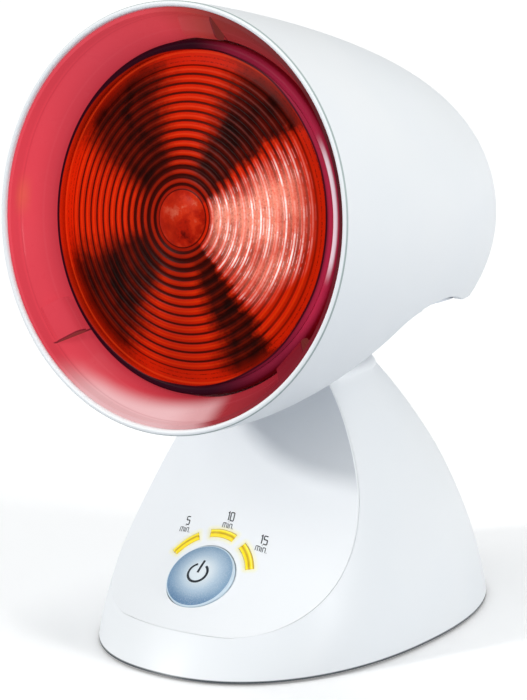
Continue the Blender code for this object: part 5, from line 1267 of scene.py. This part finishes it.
def make_base_housing():
    setback = PANEL_WALL + GAP
    housing = new_object("base_housing", loft_mesh(dome_rings()), WORLD)
    cut(housing, panel_slab(None, setback, GAP), WORLD)
    cavity = new_object("cavity", loft_mesh(dome_rings(BASE_WALL)), WORLD)
    cut(cavity, panel_slab(None, setback + LEDGE_WALL, LEDGE_WALL), WORLD)
    cut(housing, cavity.data.copy(), WORLD)
    bpy.data.objects.remove(cavity, do_unlink=True)
    cut(housing, box_mesh(OPENING_LOW, OPENING_HIGH), CONTROLS)
    # Hinge knuckle with its bore, the notched disc's pocket, the pawl's slot and the wires' way
    foot, half = DOME_TOP - BASE_WALL / 2 - PIVOT_Z, KNUCKLE_RADIUS + BASE_WALL / 2
    outline = arc_points((0, 0), KNUCKLE_RADIUS, 0, pi, KNUCKLE_POINTS)
    outline += [(-half, foot), (half, foot)]
    neck = prism_mesh(outline, -KNUCKLE_HALF, KNUCKLE_HALF, lambda y, z, x: (x, y, z))
    join(housing, neck, at(0, PIVOT_Y, PIVOT_Z))
    pivot = at(0, PIVOT_Y, PIVOT_Z) @ ALONG_X
    reach = KNUCKLE_HALF + OVERRUN
    near = KNUCKLE_HALF - DETENT_WALL - POCKET_GAP
    cut(housing, cylinder_mesh(AXLE_RADIUS + GAP, -reach, reach, AXLE_SEGMENTS), pivot)
    cut(housing, cylinder_mesh(DETENT_RADIUS + POCKET_GAP, near, reach), pivot)
    top = PIVOT_Z - DETENT_RADIUS - GAP + POCKET_GAP
    half = PAWL_LENGTH / 2 + POCKET_GAP
    low = (near, PIVOT_Y - half, top - PAWL_WIDTH - POCKET_GAP * 2)
    cut(housing, box_mesh(low, (reach, PIVOT_Y + half, top)), WORLD)
    low, high = DOME_TOP - BASE_WALL - OVERRUN, PIVOT_Z + KNUCKLE_RADIUS + OVERRUN
    way = cylinder_mesh(WIRE_RADIUS, low, high, WIRE_SEGMENTS)
    cut(housing, way, at(-WIRE_OFFSET, PIVOT_Y, 0))
    # Hole of the cord inlet, square to the dome's rear
    above, rear, below = (
        dome_section(INLET_HEIGHT + offset)[2] for offset in (BASE_WALL, 0, -BASE_WALL)
    )
    lean = atan2(below - above, BASE_WALL * 2)
    inlet = cylinder_mesh(INLET_RADIUS + GAP, -BASE_WALL * 3, BASE_WALL * 3)
    cut(housing, inlet, at(0, rear, INLET_HEIGHT) @ spin("X", lean - pi / 2))
    dress(housing, "base", "housing_white", "base_shell", look=BASE, normal_at=dome_normal)


def guide_outline(index, growth):
    middle = pi / 2 - GUIDE_STEP * index
    half_width = GUIDE_WIDTH / 2 + growth
    start, end = (middle + side * (GUIDE_SPAN / 2 + growth / GUIDE_RADIUS) for side in (-1, 1))
    points = arc_points((0, 0), GUIDE_RADIUS + half_width, start, end, GUIDE_POINTS)
    return points + arc_points((0, 0), GUIDE_RADIUS - half_width, end, start, GUIDE_POINTS)


def make_panel():
    panel = new_object("panel", panel_slab(0, PANEL_WALL, GAP / 2), WORLD)
    hole = cylinder_mesh(BUTTON_RADIUS + GAP, -OVERRUN, OVERRUN, BUTTON_SEGMENTS)
    cut(panel, hole, CONTROLS)
    for index in GUIDE_WORDS:
        cut(panel, prism_mesh(guide_outline(index, GAP / 2), -OVERRUN, OVERRUN), CONTROLS)
    dress(panel, "base", "panel_white", "front_panel", normal_at=panel_normal)


def make_guides():
    for index, word in GUIDE_WORDS.items():
        rows = []
        low, edge = -GUIDE_LENGTH / 2, GUIDE_PROUD - GUIDE_BEVEL
        for inset, rise in ((0, low), (0, edge), (GUIDE_BEVEL, GUIDE_PROUD)):
            outline = guide_outline(index, -inset)
            rows.append([(x, y, panel_rise(x, y) + rise) for x, y in outline])
        guide = new_object(f"window_{word}", loft_mesh(rows), CONTROLS)
        dress(guide, "base", "lamp_yellow", f"light_guide_{word}")


def button_top(x, y):
    share = hypot(x, y) / (BUTTON_RADIUS - BUTTON_ROUND)
    return BUTTON_EDGE + BUTTON_CROWN * (1 - share**2) ** BUTTON_CROWN_POWER


def make_button():
    rim = BUTTON_RADIUS - BUTTON_ROUND
    radii = [rim * i / BUTTON_TOP_STEPS for i in range(BUTTON_TOP_STEPS)]
    points = [(radius, button_top(radius, 0)) for radius in radii] + [(rim, BUTTON_EDGE)]
    centre = (rim, BUTTON_EDGE - BUTTON_ROUND)
    points += arc_points(centre, BUTTON_ROUND, pi / 2, 0, BUTTON_ROUND_POINTS)[1:]
    top, flange = -BUTTON_SKIRT, BUTTON_RADIUS + BUTTON_FLANGE
    low, end = top - BUTTON_FLANGE, top - BUTTON_PIN_LENGTH
    points += [(BUTTON_RADIUS, top), (flange, top), (flange, low)]
    points += [(BUTTON_PIN_RADIUS, low), (BUTTON_PIN_RADIUS, end), (0, end)]
    button = new_object("button", turned_mesh(points, BUTTON_SEGMENTS), CONTROLS)
    dress(button, "button", "button_blue", "power_button")


# Marks: strokes laid on a face


def stroke_mesh(strokes, width, surface):
    """Flat strokes of even width along lines of (x, y) points; a line that ends at its start
    is closed."""
    bm = bmesh.new()
    for line in strokes:
        steps = [(Vector(b) - Vector(a)).normalized() for a, b in zip(line, line[1:])]
        closed = line[0] == line[-1]
        before = [steps[-1] if closed else steps[0]] + steps
        after = steps + [steps[0] if closed else steps[-1]]
        sides = []
        for point, first, second in zip(line, before, after):
            along = (first + second).normalized()
            normal = Vector((-along.y, along.x))
            reach = width / 2 / max(normal.dot(Vector((-first.y, first.x))), MITRE_LIMIT)
            ends = [Vector(point) + normal * side * reach for side in (-1, 1)]
            sides.append([bm.verts.new((x, y, surface(x, y) + MARK_LIFT)) for x, y in ends])
        for (a, b), (c, d) in zip(sides, sides[1:]):
            bm.faces.new((a, c, d, b))
    mesh = bpy.data.meshes.new("strokes")
    bm.to_mesh(mesh)
    bm.free()
    return mesh


def rounded(points, radius, closed=False):
    """A line with its corners rounded."""
    if closed:
        points = [points[-1], *points, points[0]]
    result = [] if closed else [points[0]]
    for before, here, after in zip(points, points[1:], points[2:]):
        here = Vector(here)
        before, after = Vector(before) - here, Vector(after) - here
        reach = min(radius, before.length * 0.49, after.length * 0.49)
        start = here + before.normalized() * reach
        end = here + after.normalized() * reach
        for j in range(CORNER_STEPS + 1):
            share = j / CORNER_STEPS
            spot = start * (1 - share) ** 2 + here * 2 * share * (1 - share) + end * share**2
            result.append(tuple(spot))
    return result + [result[0] if closed else points[-1]]


def arch(width):
    return rounded([(0, 0), (0, 0.72), (width, 0.72), (width, 0)], 0.14)


# Strokes of narrow square-built figures and small letters, one unit high, and their widths
WIDE = 0.46
SPACE = 0.24
HOOK = [(WIDE, 1), (0, 1), (0, 0.56), (WIDE, 0.56), (WIDE, 0), (0, 0)]
SIGNS = {
    "5": ([rounded(HOOK, 0.12)], WIDE),
    "1": ([[(-0.06, 0.86), (0.1, 1), (0.1, 0)]], 0.1),
    "0": ([rounded([(0, 0), (WIDE, 0), (WIDE, 1), (0, 1)], 0.14, closed=True)], WIDE),
    "m": ([arch(0.68), [(0.34, 0.7), (0.34, 0)]], 0.68),
    "i": ([[(0, 0), (0, 0.72)], [(0, 0.92), (0, 1.02)]], 0.0),
    "n": ([arch(0.4)], 0.38),
    ".": ([[(0, 0), (0, 0.1)]], -0.04),
}


def place_text(text, centre, height):
    """Strokes of a text scaled, leant over and moved to its middle."""
    strokes = []
    pen = 0.0
    for sign in text:
        lines, width = SIGNS[sign]
        strokes += [[(x + pen, y - 0.5) for x, y in line] for line in lines]
        pen += width + SPACE
    middle = (pen - SPACE) / 2

    def place(x, y):
        return centre[0] + (x - middle + y * TEXT_LEAN) * height, centre[1] + y * height

    return [[place(x, y) for x, y in line] for line in strokes]


def make_marks():
    figures, words = [], []
    for text, x, y in MINUTES:
        figures += place_text(text, (x, y), FIGURE_HEIGHT)
        words += place_text("min.", (x + WORD_ASIDE, y - WORD_BELOW), WORD_HEIGHT)
    ring = arc_points((0, 0), SYMBOL_RADIUS, *SYMBOL_SPAN, SYMBOL_POINTS)
    bar = [(0, SYMBOL_BAR * i / SYMBOL_BAR_STEPS) for i in range(SYMBOL_BAR_STEPS + 1)]
    for name, strokes, width, surface, body, look in (
        ("minute_figures", figures, FIGURE_STROKE, panel_rise, "base", INK),
        ("minute_words", words, WORD_STROKE, panel_rise, "base", INK),
        ("power_symbol", [ring, bar], SYMBOL_STROKE, button_top, "button", SYMBOL),
    ):
        marks = new_object(name, stroke_mesh(strokes, width, surface), CONTROLS)
        dress(marks, body, "plastic_black", look=look)


make_head_housing()
make_cover()
make_liner()
make_lens()
make_bowl()
make_base_housing()
make_panel()
make_guides()
make_button()
make_marks()


# Camera, floor, lights

CAMERA_PLACE = (0.64258167, -0.90008322, 0.37936744)
CAMERA_SIDE = atan2(0.59001264, 0.80739401)
CAMERA_HEIGHT = asin(0.24551627)
FOCAL_PIXELS = 3171.43
FRAME_PIXELS = 700
SENSOR_WIDTH = 36
CAMERA_REACH = 50
FLOOR_REACH = 12
FLOOR_LIFT = 0.12
FLOOR_SEEN = (0.27, 0.31, 0.37, 1)
SKY_COLOUR = (0.93, 0.96, 0.98, 1)
SKY_STRENGTH = 0.53
LAMP_COLOUR = (1.0, 0.99, 0.975)


def facing(side, height):
    """Turned so that Z points to the right of the camera's side by an angle, and so far up."""
    return spin("Z", CAMERA_SIDE + side) @ spin("X", pi / 2 - height)


scene = bpy.context.scene
scene.view_settings.view_transform = "Standard"
camera_data = bpy.data.cameras.new("camera")
camera_data.sensor_width = SENSOR_WIDTH
camera_data.sensor_fit = "AUTO"
camera_data.lens = FOCAL_PIXELS / FRAME_PIXELS * SENSOR_WIDTH
camera_data.clip_end = CAMERA_REACH
camera_place = at(*CAMERA_PLACE) @ facing(0, CAMERA_HEIGHT)
scene.camera = new_object("camera", camera_data, camera_place)


def shader(tree, kind):
    return tree.nodes.new("ShaderNode" + kind)


def to_output(tree, node):
    output = [other for other in tree.nodes if other.type.startswith("OUTPUT")][0]
    tree.links.new(node.outputs[0], output.inputs["Surface"])


floor_mesh = bpy.data.meshes.new("floor")
corners = [(x * FLOOR_REACH, y * FLOOR_REACH, 0) for x, y in ((-1, -1), (1, -1), (1, 1), (-1, 1))]
floor_mesh.from_pydata(corners, [], [(0, 1, 2, 3)])
floor = new_object("floor", floor_mesh, WORLD)
paper = Look("floor_paper", Roughness=0.9, Specular_IOR_Level=0.0)
rays = paper.node("LightPath").outputs
seen = Field(paper, rays["Is Camera Ray"]).calc("MAXIMUM", rays["Is Glossy Ray"])
seen = seen.calc("MAXIMUM", rays["Is Transmission Ray"])
unseen = paper.mix(paper.noise(3.0), (1, 1, 1, 1), (0.99, 0.99, 0.99, 1))
paper.colour(paper.mix(seen, FLOOR_SEEN, unseen))
lift = paper.node("Emission", Strength=seen * FLOOR_LIFT)
both = paper.node("AddShader")
paper.link(paper.shader.outputs[0], both.inputs[0])
paper.link(lift.outputs[0], both.inputs[1])
to_output(paper.tree, both)
floor_mesh.materials.append(paper.material)

scene.world = bpy.data.worlds.new("studio")
scene.world.use_nodes = True
tree = scene.world.node_tree
light = tree.nodes["Background"]
light.inputs["Color"].default_value = SKY_COLOUR
light.inputs["Strength"].default_value = SKY_STRENGTH
white = shader(tree, "Background")
white.inputs["Color"].default_value = (1, 1, 1, 1)
chosen = shader(tree, "MixShader")
tree.links.new(shader(tree, "LightPath").outputs["Is Camera Ray"], chosen.inputs[0])
tree.links.new(light.outputs[0], chosen.inputs[1])
tree.links.new(white.outputs[0], chosen.inputs[2])
to_output(tree, chosen)


def add_sun(name, energy, side, height, spread):
    """A soft light from an angle to the right of the camera and a height above the floor."""
    lamp = bpy.data.lights.new(name, "SUN")
    lamp.energy = energy * pi
    lamp.angle = radians(spread)
    lamp.color = LAMP_COLOUR
    new_object(name, lamp, facing(radians(side), radians(height)))


add_sun("key", 0.43, -65, 20, 7)
add_sun("right_front", 0.49, 55, 14, 18)
add_sun("left_high", 0.09, -75, 36, 18)
add_sun("above", 0.15, 0, 90, 18)
